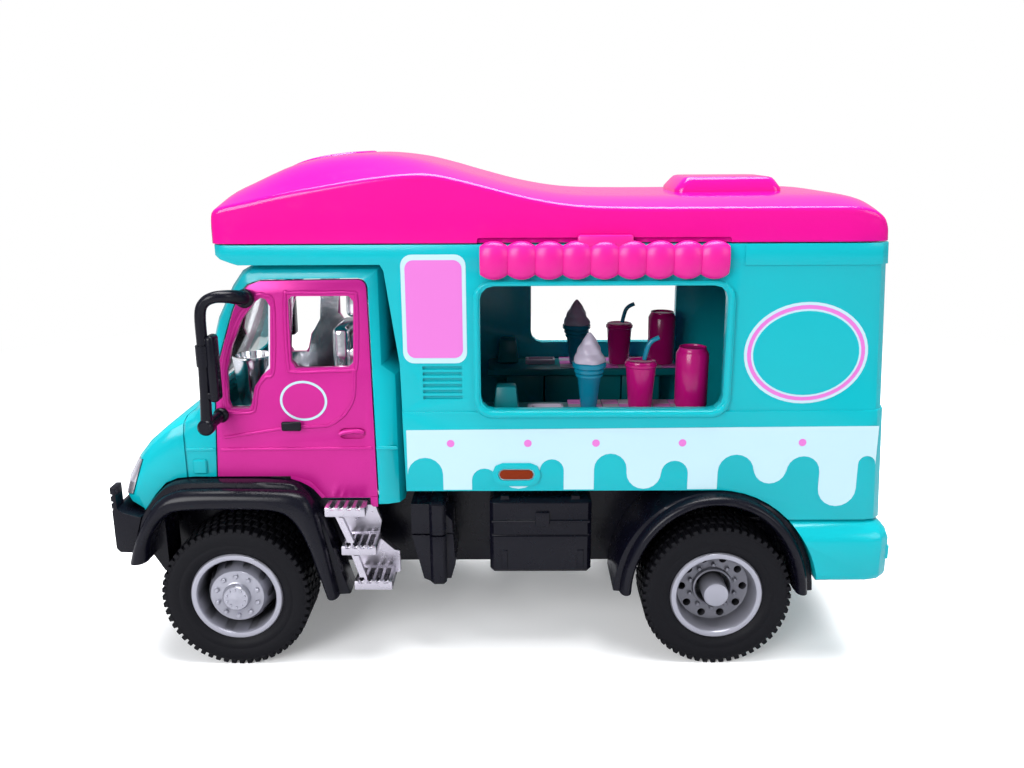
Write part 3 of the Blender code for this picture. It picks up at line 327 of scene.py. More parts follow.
TIER_OUTER = [(-78.6, 25.0), (-77.4, 30.0), (-75.9, 35.0), (-73.5, 38.3), (-71.0, 41.0), (-68.5, 42.0),
              (-65.0, 42.3), (-44.8, 42.2), (-42.5, 41.2), (-39.9, 38.3), (-37.6, 33.5), (-35.8, 27.2),
              (-32.6, 16.6)]
LIP_OUTER = [(-79.0, 24.7), (-77.6, 29.5), (-75.8, 32.9), (-73.7, 36.5), (-71.6, 39.0), (-69.1, 40.5),
             (-65.5, 41.3), (-45.5, 41.1), (-42.0, 40.5), (-39.6, 38.9), (-37.8, 31.7), (-36.6, 26.0),
             (-34.9, 16.6)]
LIP_INNER = [(-75.1, 25.0), (-74.5, 28.9), (-73.4, 31.3), (-71.7, 34.0), (-69.4, 35.8), (-67.0, 36.6),
             (-47.9, 36.6), (-45.7, 35.8), (-43.9, 34.2), (-42.4, 31.7), (-40.9, 28.3), (-39.7, 24.2),
             (-37.5, 16.6)]
GUARD_AT = (45.6, 16.3)
GUARD_ANGLES = [radians(2.0 + 176.0 * k / 60) for k in range(61)]
LIP_TURN = ((0.03, -1.6), (0.09, -1.0), (0.18, -0.5), (0.29, -0.2), (0.41, 0.0))   # share closed in, place
FLARE_OUT = 33.8
GUARD_OUT = 33.0
COVER_SIZE = (13.6, 33.6, 1.2)
COVER_AT = (57.4, 0.0, 27.75)
LINER = [(-76.6, 26.4), (-73.4, 20.8), (-72.4, 21.4), (-72.4, 35.0), (-75.4, 35.0)]
LINER_Y = (20.0, 27.8)


def softened(line):
    """Cut the corners of an open line twice, keeping its ends."""
    for _ in range(2):
        inner = []
        for (x0, z0), (x1, z1) in zip(line, line[1:]):
            inner += [(x0 + (x1 - x0) * t, z0 + (z1 - z0) * t) for t in (0.25, 0.75)]
        line = [line[0]] + inner[1:-1] + [line[-1]]
    return line


def arch(node, sign, mouth, edge, out, rings):
    """A band over a wheel: rings of (outer line, share closed in, place across), then the lip's round edge."""
    sections = []
    for outer, close, across in rings + tuple((edge, close, out + place) for close, place in LIP_TURN):
        pairs = list(zip(outer, mouth))
        top = [(x + (a - x) * close, z + (b - z) * close) for (x, z), (a, b) in pairs]
        low = [(a + (x - a) * close, b + (z - b) * close) for (x, z), (a, b) in pairs]
        sections.append([(x, sign * across, z) for x, z in top + low[::-1]])
    form(node, skin(node, sections, 50), black_plastic)


def guard_line(half, tall):
    """Half an oval over the rear wheel."""
    return [(GUARD_AT[0] + half * cos(turn), GUARD_AT[1] + tall * sin(turn)) for turn in GUARD_ANGLES]


tier, lip, mouth = softened(TIER_OUTER), softened(LIP_OUTER), softened(LIP_INNER)
back, roll, hollow = guard_line(21.5, 23.5), guard_line(20.2, 23.3), guard_line(17.6, 20.7)
for side, sign in SIDES:
    arch(f"fender_front_{side}", sign, mouth, lip, FLARE_OUT, (
        (tier, 0.0, 24.0), (tier, 0.0, 30.2), (tier, 0.04, 30.7), (lip, 0.0, 30.9), (lip, 0.0, 31.4)))
    arch(f"mudguard_rear_{side}", sign, hollow, roll, GUARD_OUT, (
        (back, 0.0, 17.3), (back, 0.0, 30.2), (back, 0.03, 30.6), (roll, 0.0, 30.8)))


# A black plate closes the last bay of the frame behind the rear axle, and a liner closes each front arch toward
# the bumper.
link_piece("frame_cover", lump("frame_cover", COVER_SIZE, COVER_AT, 0.2), black_plastic)
for side, sign in SIDES:
    link_piece(f"arch_liner_{side}", slab("liner", LINER, sign, *LINER_Y), black_plastic)


# Wheels
# Each tyre is one rubber moulding with four rows of staggered blocks, stretched over a silver plastic rim. Both
# rims of an axle are pressed on one steel pin. A geometry node ring sets blocks, nuts and bolts round the pin.
TYRE_RADIUS = 16.0
BEAD_RADIUS = 10.0
BLOCKS = 56
CARCASS = [(-5.0, BEAD_RADIUS), (-5.7, 10.9), (-6.0, 12.4), (-5.95, 14.4), (-5.75, 15.2), (-5.0, 15.6),
           (0, 15.65), (5.0, 15.6), (5.75, 15.2), (5.95, 14.4), (6.0, 12.6), (5.9, 12.4), (5.9, 12.1),
           (5.98, 11.9), (5.75, 10.9), (5.35, 10.5), (5.1, BEAD_RADIUS)]
BLOCK_ROWS = (   # block size, place across, turn in pitches
    ((1.15, 2.7, 1.15), 4.6, 0.0), ((1.15, 2.7, 1.15), -4.6, 0.5),
    ((1.2, 2.6, 0.8), 1.5, 0.5), ((1.2, 2.6, 0.8), -1.5, 0.0))


def input_id(tree, name):
    """What a modifier calls one input of a tree."""
    inputs = (item for item in tree.interface.items_tree if item.in_out == "INPUT")
    return next(item.identifier for item in inputs if item.name == name)


def group(name, **sockets):
    """A geometry node group with these inputs, and the signals that they give."""
    tree = bpy.data.node_groups.new(name, "GeometryNodeTree")
    for label, kind in sockets.items():
        tree.interface.new_socket(label.replace("_", " "), in_out="INPUT", socket_type=f"NodeSocket{kind}")
    tree.interface.new_socket("Geometry", in_out="OUTPUT", socket_type="NodeSocketGeometry")
    graph = Graph(tree)
    return graph, {socket.name: Signal(graph, socket) for socket in tree.nodes.new("NodeGroupInput").outputs}


def copies(graph, given, places):
    """Set real copies of the item on the places, join what is there already and paint all of it."""
    item = graph.node("GeometryNodeObjectInfo", {}, {"Object": given["Item"]}, out="Geometry")
    made = graph.node("GeometryNodeInstanceOnPoints", {}, {"Instance": item, **places})
    real = graph.node("GeometryNodeRealizeInstances", {}, {0: made})
    both = graph.node("GeometryNodeJoinGeometry", {}, {0: given["Geometry"]})
    graph.feed(both.socket.node.inputs[0], real)
    painted = graph.node("GeometryNodeSetMaterial", {}, {"Geometry": both, "Material": given["Finish"]})
    graph.feed(graph.tree.nodes.new("NodeGroupOutput").inputs[0], painted)
    return graph.tree


def ring_tree():
    """Copies of an item, modelled over the Y axis at its own radius, turned round that axis."""
    graph, given = group("ring_of_copies", Geometry="Geometry", Item="Object", Count="Int", Start_Turn="Float",
                         Centre="Vector", Finish="Material")
    count = given["Count"]
    values = {"Offset": (0, 0, 0), "Count": count, "Start Location": given["Centre"]}
    line = graph.node("GeometryNodeMeshLine", {}, values)
    turn = graph.node("GeometryNodeInputIndex").math("DIVIDE", count) * (2 * pi) + given["Start Turn"]
    about = graph.node("ShaderNodeCombineXYZ", {}, {"Y": turn})
    return copies(graph, given, {"Points": line, "Rotation": about})


def row_tree():
    """Copies of an item in a row, or in rows when a count across is given."""
    graph, given = group("rows_of_copies", Geometry="Geometry", Item="Object", Count="Int", Rows="Int",
                         Start="Vector", Step="Vector", Row_Step="Vector", Finish="Material")
    count = given["Count"]
    index = graph.node("GeometryNodeInputIndex")
    line = graph.node("GeometryNodeMeshLine", {}, {"Offset": (0, 0, 0), "Count": count * given["Rows"]})
    place = given["Start"]
    row = index.math("DIVIDE", count).math("FLOOR")
    for number, step in ((index.math("MODULO", count), "Step"), (row, "Row Step")):
        scaled = graph.node("ShaderNodeVectorMath", {"operation": "SCALE"}, {0: given[step], "Scale": number})
        place = graph.node("ShaderNodeVectorMath", {}, {0: place, 1: scaled})
    spread = graph.node("GeometryNodeSetPosition", {}, {"Geometry": line, "Position": place})
    return copies(graph, given, {"Points": spread})


RING = ring_tree()
ROWS = row_tree()


def evaluated(base):
    """The plain mesh that an object's modifiers make."""
    bpy.context.view_layer.update()
    return bpy.data.meshes.new_from_object(base.evaluated_get(bpy.context.evaluated_depsgraph_get()))


def repeated(tree, item_mesh, finish, base, **values):
    """A mesh of an item's copies, added to a base mesh when one is given."""
    carrier = placed("carrier", base or bpy.data.meshes.new("empty"))
    item = placed("item", item_mesh)
    step = carrier.modifiers.new("copies", "NODES")
    step.node_group = tree
    for name, value in {"Item": item, "Finish": finish.material, **values}.items():
        step[input_id(tree, name.replace("_", " "))] = value
    made = evaluated(carrier)
    bpy.data.objects.remove(item)
    bpy.data.objects.remove(carrier)
    return made


def ring(item_mesh, finish, count, turn, centre, base=None):
    """Copies round the Y direction through a centre in mm, the first one turned by so much."""
    return repeated(RING, item_mesh, finish, base, Count=count, Start_Turn=turn, Centre=metres(centre))


def rows(item_mesh, finish, count, start, step, across=1, row_step=(0, 0, 0), base=None):
    """Copies in a row or in rows, places and steps in mm."""
    return repeated(ROWS, item_mesh, finish, base, Count=count, Rows=across, Start=metres(start),
                    Step=metres(step), Row_Step=metres(row_step))


def lathe(name, profile, segments, centre=(0, 0, 0), axis="y", closed=False, smooth=35):
    """Revolve (along, radius) points in mm about an axis."""
    bm = bmesh.new()
    loops = []
    for along, radius in profile:
        loop = []
        for k in range(segments if radius else 1):
            angle = 2 * pi * k / segments
            a, b = radius * cos(angle), radius * sin(angle)
            spot = (a, along, b) if axis == "y" else (a, b, along)
            loop.append(bm.verts.new([(spot[i] + centre[i]) * MM for i in range(3)]))
        loops.append(loop)
    for near, far in zip(loops, loops[1:] + loops[:1] if closed else loops[1:]):
        for i in range(segments):
            j = i + 1
            quad = [near[i % len(near)], near[j % len(near)], far[j % len(far)], far[i % len(far)]]
            bm.faces.new([vert for n, vert in enumerate(quad) if vert not in quad[:n]])
    return mesh_of(name, bm, smooth)


def rubber():
    finish = Finish("tyre_rubber")
    grain = finish.noise(2.2, 4.0, 0.6)
    dust = finish.ramp(finish.noise(0.9, 8.0, 0.75), 0.6, 0.8)
    finish.set(Base_Color=finish.mix(dust, (0.003, 0.003, 0.005, 1), (0.01, 0.01, 0.013, 1)),
               Roughness=0.5 + 0.2 * grain, Specular_IOR_Level=0.16)
    finish.bump(grain, 0.02)
    return finish


def middle_of(node):
    """The middle of a CAD node in mm."""
    low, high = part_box(node)
    return [(low[i] + high[i]) / 2 / MM for i in range(3)]


def outward(profile, sign):
    """A wheel's profile with its outer face on the side that the sign gives."""
    return [(sign * along, radius) for along, radius in profile]


def tyre(node, sign, body, finish):
    """Carcass with sidewall rings, then four rows of blocks, each half a pitch from its neighbours."""
    centre = middle_of(node)
    mesh = lathe("carcass", outward(CARCASS, sign), 96, centre, closed=True)
    for size, across, phase in BLOCK_ROWS:
        block = lump("block", size, (0, sign * across, TYRE_RADIUS - size[2] / 2), 0.12, 1, 0.92)
        mesh = ring(block, finish, BLOCKS, phase * 2 * pi / BLOCKS, centre, mesh)
    form(node, mesh, finish, body)


def cut_with(mesh, cutter, operation="DIFFERENCE"):
    """Take a closed mesh out of another, or add it, and give back the plain result."""
    base = placed("base", mesh)
    tool = placed("tool", cutter)
    step = base.modifiers.new("cut", "BOOLEAN")
    step.operation = operation
    step.object = tool
    shaped = evaluated(base)
    bpy.data.objects.remove(base)
    bpy.data.objects.remove(tool)
    shaped.set_sharp_from_angle(angle=radians(35))
    return shaped


SILVER = (0.4, 0.4, 0.46)
# Painted shade on the rims: none beyond the first distance, full inside the second.
PAINTED_SHADE_FROM = 31.5           # from the truck's middle
PAINTED_SHADE_FULL = 24.5


def silver_paint():
    """Silver plastic with painted shade that deepens toward the truck's middle, so the wells of the rims go
    dark.
    """
    finish = Finish("silver_plastic")
    flake = finish.noise(5.0, 2.0, 0.6)
    cloud = finish.noise(0.15, 3.0)
    across = finish.node("ShaderNodeSeparateXYZ", {}, {"Vector": finish.place()}, out="Y").math("ABSOLUTE")
    paint = finish.mix(cloud, tint(SILVER, 0.92), tint(SILVER, 1.1))
    # painted shade: the silver darkens toward the truck's middle, where the rims' wells lie in shade
    painted_shade = finish.ramp(across, PAINTED_SHADE_FROM * MM, PAINTED_SHADE_FULL * MM)
    finish.set(Base_Color=finish.mix(painted_shade, paint, tint(SILVER, 0.2)), Metallic=0.7,
               Roughness=0.26 + 0.12 * flake)
    finish.bump(flake, 0.004)
    return finish


RIM_BACK = -5.6
RIM_RADIUS = 9.95
RIM_EDGE = [(RIM_BACK, 0.0), (RIM_BACK, 2.0), (RIM_BACK, RIM_RADIUS), (5.2, RIM_RADIUS), (5.5, 9.7),
            (5.55, 9.2), (5.45, 8.7), (5.1, 8.45)]
FRONT_FACE = [(-2.2, 8.2), (-2.6, 7.95), (-2.2, 7.7), (3.6, 6.5), (4.2, 6.15), (4.6, 5.95), (4.9, 5.75),
              (4.95, 5.4), (4.95, 3.3), (5.1, 3.05), (5.9, 2.95), (6.3, 2.6), (6.3, 0.6), (6.5, 0.0)]
REAR_FACE = [(1.4, 8.05), (0.9, 7.8), (0.7, 7.3), (0.7, 4.5), (1.5, 4.3), (1.6, 4.0), (1.4, 3.8), (-3.2, 3.7),
             (-3.2, 2.85), (4.9, 2.75), (5.2, 2.6), (5.3, 2.2), (5.3, 0.0)]
REAR_HOLE = [(-4.0, 0), (-4.0, 0.85), (3.5, 0.85), (3.5, 0)]
FRONT_NUTS = ((6, 4.6, 0.55, 4.85, 0.65), (8, 2.05, 0.3, 6.2, 0.35))   # sides, circle, radius, foot, height
REAR_NUTS = ((6, 5.15, 0.52, 0.6, 0.8),)
RIM_COPIES = 10


def rim(kind, side, sign, body, finish):
    """Turned face, ten openings cut into it, then rings of nuts."""
    node = f"rim_{kind}_{side}"
    centre = middle_of(f"tyre_{kind}_{side}")
    if kind == "front":
        face, nuts = FRONT_FACE, FRONT_NUTS
        hole = lump("hole", (1.5, 9.0, 2.1), (0, sign * 1.9, 7.35), 0.3, 2, 1.35)
    else:
        face, nuts = REAR_FACE, REAR_NUTS
        hole = lathe("hole", outward(REAR_HOLE, sign), 20, (0, 0, 6.7))
    cutters = ring(hole, finish, RIM_COPIES, pi / RIM_COPIES, centre)
    mesh = cut_with(lathe(node, outward(RIM_EDGE + face, sign), 80, centre), cutters)
    for sides, circle, radius, foot, tall in nuts:
        top = foot + tall
        nut = [(foot, 0), (foot, radius), (foot + tall * 0.75, radius), (top, radius * 0.7), (top, 0)]
        nut = lathe("nut", outward(nut, sign), sides, (0, 0, circle))
        mesh = ring(nut, finish, RIM_COPIES, 0.0, centre, mesh)
    form(node, mesh, finish, body)


def steel():
    finish = Finish("axle_steel")
    finish.set(Base_Color=(0.5, 0.5, 0.52, 1), Metallic=1.0, Roughness=0.3 + 0.15 * finish.noise(3.0, 3.0))
    return finish


tyre_finish = rubber()
silver = silver_paint()
steel_finish = steel()
for kind in ("front", "rear"):
    for side, sign in SIDES:
        tyre(f"tyre_{kind}_{side}", sign, f"{kind}_wheels", tyre_finish)
        rim(kind, side, sign, f"{kind}_wheels", silver)
    dressed(f"axle_{kind}", steel_finish, f"{kind}_wheels", edge=0.2)


# Cab
# The cab is one glossy teal moulding over the chassis, with a clear windscreen and clear lamp caps. Its doors
# are cast metal with magenta paint, hinged at their front edge; latches and mirrors are black plastic.
TEAL = (0.002, 0.365, 0.42)
teal_plastic = moulded("teal_plastic", TEAL, 0.16, 0.003, 0.03, shine=0.25)
dressed("cab_shell", teal_plastic, edge=0.2)


def clear():
    """Clear plastic with a little haze."""
    finish = Finish("clear_plastic")
    finish.set(Base_Color=(0.95, 0.98, 0.99, 1), Roughness=0.02 + 0.05 * finish.noise(0.5, 4.0),
               Transmission_Weight=1.0, IOR=1.45)
    return finish


def lamp_lens():
    """Clear lens over a plated bowl: silvery, with upright flutes."""
    finish = Finish("lamp_clear")
    flutes = finish.node("ShaderNodeTexWave", {"bands_direction": "Y"},
                         {"Vector": finish.place(), "Scale": 0.45 / MM, "Distortion": 0.3}, out="Fac")
    finish.set(Base_Color=finish.mix(flutes, (0.5, 0.48, 0.55, 1), (0.9, 0.88, 0.95, 1)), Metallic=0.75,
               Roughness=0.12 + 0.1 * flutes)
    finish.bump(flutes, 0.08)
    return finish


dressed("windscreen", clear(), edge=0.15)
lens = lamp_lens()
for side, sign in SIDES:
    dressed(f"headlamp_{side}", lens, edge=0.4, steps=3)


def film(name, outline, sign, near, far, finish, body="root"):
    """A thin print on one side of the toy, between two distances from the middle, in mm."""
    link_piece(name, slab(name, outline, sign, near, far), finish, body)


def oval(x, z, half, tall, steps=48):
    """A closed oval round a place."""
    turns = [2 * pi * k / steps for k in range(steps)]
    return [(x + half * cos(turn), z + tall * sin(turn)) for turn in turns]


def curve(x, z, radius, start, end, steps=10):
    """Part of a circle, from one angle to another in degrees."""
    turns = [radians(start + (end - start) * k / steps) for k in range(steps + 1)]
    return [(x + radius * cos(turn), z + radius * sin(turn)) for turn in turns]


def panel(x0, x1, z0, z1, radius):
    """A rectangle with round corners."""
    left, right, low, high = x0 + radius, x1 - radius, z0 + radius, z1 - radius
    corners = enumerate(((right, low), (right, high), (left, high), (left, low)))
    return [spot for k, (x, z) in corners for spot in curve(x, z, radius, 90 * k - 90, 90 * k, 6)]


white_print = moulded("white_print", (0.42, 0.6, 0.66), 0.3, 0.003, 0.02, slot="treat_cream")
pink_print = moulded("pink_print", (0.6, 0.15, 0.5), 0.3, 0.003, 0.02, slot="awning_pink")


def door_paint():
    """Magenta paint with a fine flake in it."""
    finish = Finish("door_magenta")
    flake = finish.noise(9.0, 1.0)
    cloud = finish.noise(0.08, 3.0)
    finish.set(Base_Color=finish.mix(cloud, (0.44, 0.009, 0.2, 1), (0.52, 0.012, 0.25, 1)), Metallic=0.3,
               Roughness=0.24 + 0.1 * flake, Specular_IOR_Level=0.35)
    finish.bump(finish.noise(0.8, 2.0), 0.006)
    return finish


def tube(name, route, sides=14, closed=False):
    """A round bar along a smooth line through (x, y, z, radius) stations in mm."""
    count = len(route)
    fine = []
    for i in range(count if closed else count - 1):
        near = [(i + k) % count if closed else max(0, min(count - 1, i + k)) for k in (-1, 0, 1, 2)]
        a, b, c, d = (Vector(route[place]) for place in near)
        for k in range(5):
            t = k / 5
            fine.append(0.5 * (2 * b + (c - a) * t + (2 * a - 5 * b + 4 * c - d) * t * t
                               + (3 * b - a - 3 * c + d) * t ** 3))
    if not closed:
        fine.append(Vector(route[-1]))
    sections = []
    across = Vector((0, 1, 0))
    turns = [2 * pi * k / sides for k in range(sides)]
    for i, station in enumerate(fine):
        after = fine[(i + 1) % len(fine)] if closed or i + 1 < len(fine) else station
        before = fine[i - 1] if closed or i else station
        along = (after.xyz - before.xyz).normalized()
        across = (across - along * across.dot(along)).normalized()
        lift = along.cross(across)
        sections.append([station.xyz + station.w * (across * cos(turn) + lift * sin(turn)) for turn in turns])
    return skin(name, sections, 50, closed)


def knob(name, spot, radius, length):
    """A short round boss across the toy with rounded ends."""
    x, y, z = spot
    half = length / 2
    profile = [(-half, 0), (-half, radius * 0.7), (-half + 0.3, radius * 0.93), (-half + 0.6, radius),
               (half - 0.6, radius), (half - 0.3, radius * 0.93), (half, radius * 0.7), (half, 0)]
    return lathe(name, profile, 24, (x, y, z))


MIRROR_REACH = 34.3


def mirror(side, sign):
    """Two bosses on the door, the arm that bends down into the upright bar, a collar and the head."""
    reach = sign * MIRROR_REACH
    arm = tube("arm", [(-51.0, sign * 28.4, 80.9, 1.5), (-51.2, sign * 30.4, 81.2, 1.5),
                       (-53.2, sign * 33.2, 81.9, 1.3), (-55.6, reach, 81.9, 1.15), (-57.6, reach, 80.8, 1.1),
                       (-58.5, reach, 78.4, 1.1), (-58.6, reach, 72.0, 1.1), (-58.9, reach, 62.0, 1.1),
                       (-59.2, reach, 55.6, 1.2)])
    stay = [(-59.0, reach, 55.8, 1.2), (-58.5, sign * 31.5, 56.1, 1.2), (-57.8, sign * 28.45, 56.5, 1.2)]
    collar = [(68.2, 0), (68.2, 1.4), (72.4, 1.4), (72.4, 0)]
    for part in (knob("boss", (-51.0, sign * 29.4, 80.9), 1.9, 2.2),
                 knob("ball", (-59.2, reach, 55.6), 1.7, 2.8),
                 lathe("collar", collar, 20, (-58.65, reach, 0), "z"), tube("stay", stay),
                 knob("foot", (-57.8, sign * 29.2, 56.5), 1.6, 1.6),
                 lump("head", (1.9, 3.8, 13.6), (-57.0, sign * 33.5, 67.6), 0.8, 3),
                 *(lump("clamp", (2.0, 1.6, 1.4), (-58.1, reach, z), 0.3) for z in (73.2, 62.2))):
        arm = cut_with(arm, part, "UNION")
    form(f"mirror_{side}", arm, black_plastic, f"cab_door_{side}")


DOOR_FACE = 28.0
QUARTER_RIM = [(-47.3, 81.3), (-45.7, 79.4), (-46.6, 65.9), (-48.4, 64.3), (-50.1, 62.1), (-50.9, 58.3),
               (-51.8, 56.8), (-56.4, 56.8), (-57.2, 59.0), (-57.0, 65.7), (-55.6, 71.0), (-53.0, 76.7),
               (-50.0, 80.5), (-48.6, 81.5)]
SIDE_RIM = [(-43.3, 80.6), (-42.1, 81.8), (-36.0, 81.8), (-30.1, 81.8), (-28.8, 80.2), (-29.4, 67.1),
            (-30.8, 65.7), (-36.0, 65.55), (-42.3, 65.4), (-43.6, 67.3)]
DOOR_LINE = [(-57.8, 51.3), (-45.7, 53.2), (-38.5, 53.6), (-35.8, 53.9), (-33.0, 55.7), (-31.0, 58.4),
             (-30.2, 61.0), (-29.9, 65.4)]
HANDLE_LINE = [(-33.6, 52.0), (-32.4, 52.5), (-29.6, 52.6), (-28.6, 52.2)]
CREASE_Z = 48.65
DOOR_CREASE = [(-58.6, CREASE_Z), (-43.0, CREASE_Z + 0.1), (-27.2, CREASE_Z + 0.2)]
CAB_CREASES = (("front", (-66.2, -63.0, -60.4), CREASE_Z), ("rear", (-25.8, -23.8, -21.8), CREASE_Z + 0.2))
DOOR_CARD = [(-57.4, 45.0), (-27.6, 45.0), (-27.6, 82.0), (-29.2, 82.0), (-29.2, 66.5), (-33.5, 65.2),
             (-41.6, 66.2), (-43.2, 68.0), (-42.6, 75.0), (-41.8, 82.0), (-47.0, 82.0), (-48.0, 66.4),
             (-50.4, 62.4), (-51.4, 57.6), (-57.4, 57.6)]
DOOR_SKIRT = [(-44.5, 42.8), (-40.3, 41.5), (-37.3, 37.9), (-38.2, 37.7), (-39.9, 39.8), (-41.0, 40.6),
              (-42.5, 41.4), (-44.5, 42.1)]
DOOR_CORNER = [(-27.8, 37.9), (-26.3, 37.9), (-26.3, 35.7), (-27.3, 35.7), (-27.8, 36.2)]
# Black film on the sill under each door: painted shadow where the door's lower edge shades the sill.
DOOR_SILL_SHADOW = [(-43.9, 42.3), (-40.4, 41.2), (-37.4, 37.6), (-26.1, 37.6), (-26.1, 36.2), (-38.3, 35.7),
             (-39.9, 38.0), (-40.9, 39.8), (-42.6, 40.8), (-43.9, 41.6)]
DOOR_BEADS = (   # name, line, radius, how far it stands off the door's face, closed
    ("window_rim_quarter", QUARTER_RIM, 0.42, 0.3, True), ("window_rim_side", SIDE_RIM, 0.42, 0.3, True),
    ("door_line", DOOR_LINE, 0.4, 0.3, False), ("door_handle", HANDLE_LINE, 0.55, 0.72, False),
    ("door_crease", DOOR_CREASE, 0.4, 0.3, False))


def bead(name, line, sign, radius, stands, finish, body="root", closed=False):
    """A raised line on the cab's side that stands off the door's face by so much."""
    across = sign * (DOOR_FACE + stands - radius)
    mesh = tube(name, [(x, across, z, radius) for x, z in line], 10, closed)
    link_piece(name, mesh, finish, body)


def door(side, sign):
    body = f"cab_door_{side}"
    dressed(f"door_{side}", magenta, body, edge=0.25)
    dressed(f"door_latch_{side}", black_plastic, body, edge=0.2)
    mirror(side, sign)
    for name, line, radius, stands, closed in DOOR_BEADS:
        bead(f"{name}_{side}", line, sign, radius, stands, magenta, body, closed)
    films = (   # name, outline, from and to off the door's face, finish, body
        ("badge", oval(-40.8, 59.2, 4.9, 4.3), 0.02, 0.07, white_print, body),
        ("badge_fill", oval(-40.8, 59.2, 4.4, 3.8), 0.05, 0.1, magenta, body),
        ("card", DOOR_CARD, -2.1, -1.7, chrome, body), ("skirt", DOOR_SKIRT, 0.07, 0.15, magenta, body),
        ("corner", DOOR_CORNER, 0.07, 0.15, magenta, body),
        # the black film on the sill is painted shadow under the door
        ("seal", DOOR_SILL_SHADOW, 0.01, 0.05, black_plastic, "root"))
    for name, outline, near, far, finish, carrier in films:
        film(f"door_{name}_{side}", outline, sign, DOOR_FACE + near, DOOR_FACE + far, finish, carrier)


def plating():
    """Vacuum plating with a slow ripple."""
    finish = Finish("chrome_plating")
    ripple = finish.noise(0.25, 3.0)
    finish.set(Base_Color=(0.78, 0.78, 0.82, 1), Metallic=1.0, Roughness=0.1 + 0.14 * ripple)
    finish.bump(ripple, 0.12)
    return finish


magenta = door_paint()
chrome = plating()
for side, sign in SIDES:
    door(side, sign)
    for end, stations, height in CAB_CREASES:
        bead(f"cab_crease_{end}_{side}", [(x, height) for x in stations], sign, 0.4, 0.3, teal_plastic)


# Cab inside
# One vacuum-plated insert makes floor, seats with their head rests and the dash, with the dished steering wheel
# in front.
SEAT_ACROSS = 13.0
SEAT_PARTS = (   # name, size, x, z, taper
    ("seat_back", (4.2, 14.4, 22.0), -34.0, 62.0, 0.94), ("head_rest", (3.4, 8.6, 7.0), -31.6, 78.0, 0.9))
DISH = [(54.35, 0), (54.35, 3.0), (56.0, 3.6), (64.6, 4.35), (65.3, 4.5), (65.7, 4.3), (65.7, 3.7), (64.0, 3.3),
        (60.0, 2.4), (60.0, 0)]
dressed("cab_interior", chrome, edge=1.2, steps=3)
for side, sign in SIDES:
    for name, size, x, z, taper in SEAT_PARTS:
        link_piece(f"{name}_{side}", lump(name, size, (x, sign * SEAT_ACROSS, z), 1.5, 4, taper), chrome)
form("steering_wheel", lathe("steering_wheel", DISH, 48, (-55.0, -SEAT_ACROSS, 0), "z"), chrome)


# Box
# One glossy teal tub with the ledge over the cab and a raised frame round each serving window, and the rear
# bumper in the same teal. The sides carry printed film: a band that runs down in drips, a row of dots, a blank
# menu board and a plain oval badge.
REAR_FROM = 70.0
LEAN = 0.85
LEAN_FOOT = 33.4
LEAN_HEIGHT = 58.1
STRETCH = 0.09            # for each mm behind REAR_FROM
BUMPER_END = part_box("rear_bumper")[1][0] / MM


def lean(point):
    """The rear wall stands a little farther forward at its top."""
    share = max(0.0, point.z - LEAN_FOOT) / LEAN_HEIGHT if point.x > REAR_FROM else 0.0
    return (-LEAN * share, 0.0, 0.0)


def stretch(point):
    """The bumper's end stands a little farther back, up to its step."""
    return (min(STRETCH * max(0.0, point.x - REAR_FROM), max(0.0, BUMPER_END - point.x)), 0.0, 0.0)


dressed("box_body", teal_plastic, edge=0.22, shift=lean)
dressed("rear_bumper", teal_plastic, edge=0.5, steps=3, shift=stretch)

BAND_LEFT = (-19.4, 53.5)
BAND_RIGHT = (78.0, 54.1)
BAND_LOW_Z = 40.4
DRIPS = (   # x to, from where the one before it ends, then height and kind of end
    (-12.0, 47.5, "arch"), (-6.0, BAND_LOW_Z, "straight"), (-0.7, 45.1, "arch"), (8.2, 40.6, "drop"),
    (13.2, 47.1, "arch"), (19.5, BAND_LOW_Z, "straight"), (26.3, 48.3, "arch"), (33.5, 40.5, "drop"),
    (39.1, 46.7, "arch"), (45.3, BAND_LOW_Z, "straight"), (52.8, 48.0, "arch"), (59.6, 41.6, "drop"),
    (66.5, 47.6, "arch"), (74.4, 36.5, "drop"), (BAND_RIGHT[0], 47.6, "arch"))
DOTS_X = (-10.3, 5.7, 19.8, 37.7, 62.5)
BOX_FACE = 30.0
BELT_FACE = 30.42
FILM_THICK = 0.06
BADGE = (   # half width, half height, finish, from the outermost layer in
    (12.5, 10.5, white_print), (11.9, 9.9, pink_print), (11.1, 9.1, white_print), (10.7, 8.7, teal_plastic))


def drip_band():
    """The outline of the printed band: straight on top, arches and drips below."""
    outline = [BAND_RIGHT, BAND_LEFT]
    start = BAND_LEFT[0]
    for end, height, kind in DRIPS:
        half = (end - start) / 2
        if kind == "arch":
            outline += curve(start + half, height - half, half, 180, 0)
        elif kind == "drop":
            outline += curve(start + half, height + half, half, 180, 360)
        else:
            outline += [(start, height), (end, height)]
        start = end
    return outline


for side, sign in SIDES:
    prints = [("drip_band", drip_band(), BELT_FACE, white_print)]
    for number, x in enumerate(DOTS_X):
        prints.append((f"band_dot_{number}", oval(x, 50.6, 0.8, 0.8, 20), BELT_FACE + 0.04, pink_print))
    prints += [("menu_board", panel(-19.5, -6.6, 67.6, 89.6, 2.2), BOX_FACE + 0.02, white_print),
               ("menu_field", panel(-18.7, -7.4, 68.7, 88.5, 1.7), BOX_FACE + 0.06, pink_print)]
    for layer, (half, tall, finish) in enumerate(BADGE):
        near = BOX_FACE + 0.02 + 0.04 * layer
        prints.append((f"oval_badge_{layer}", oval(61.9, 69.4, half, tall), near, finish))
    for name, outline, near, finish in prints:
        film(f"{name}_{side}", outline, sign, near, near + FILM_THICK, finish)


WINDOW_CORNER = 3.2
BEAD_OUT = 30.45
BEAD_STEP = 2.5
BEAD_EDGE = 1.5             # how far the foot's and the top's thickness reach up or down
TOP_BEAD, FOOT_BEAD, SIDE_BEAD = 0.5, 0.9, 0.72


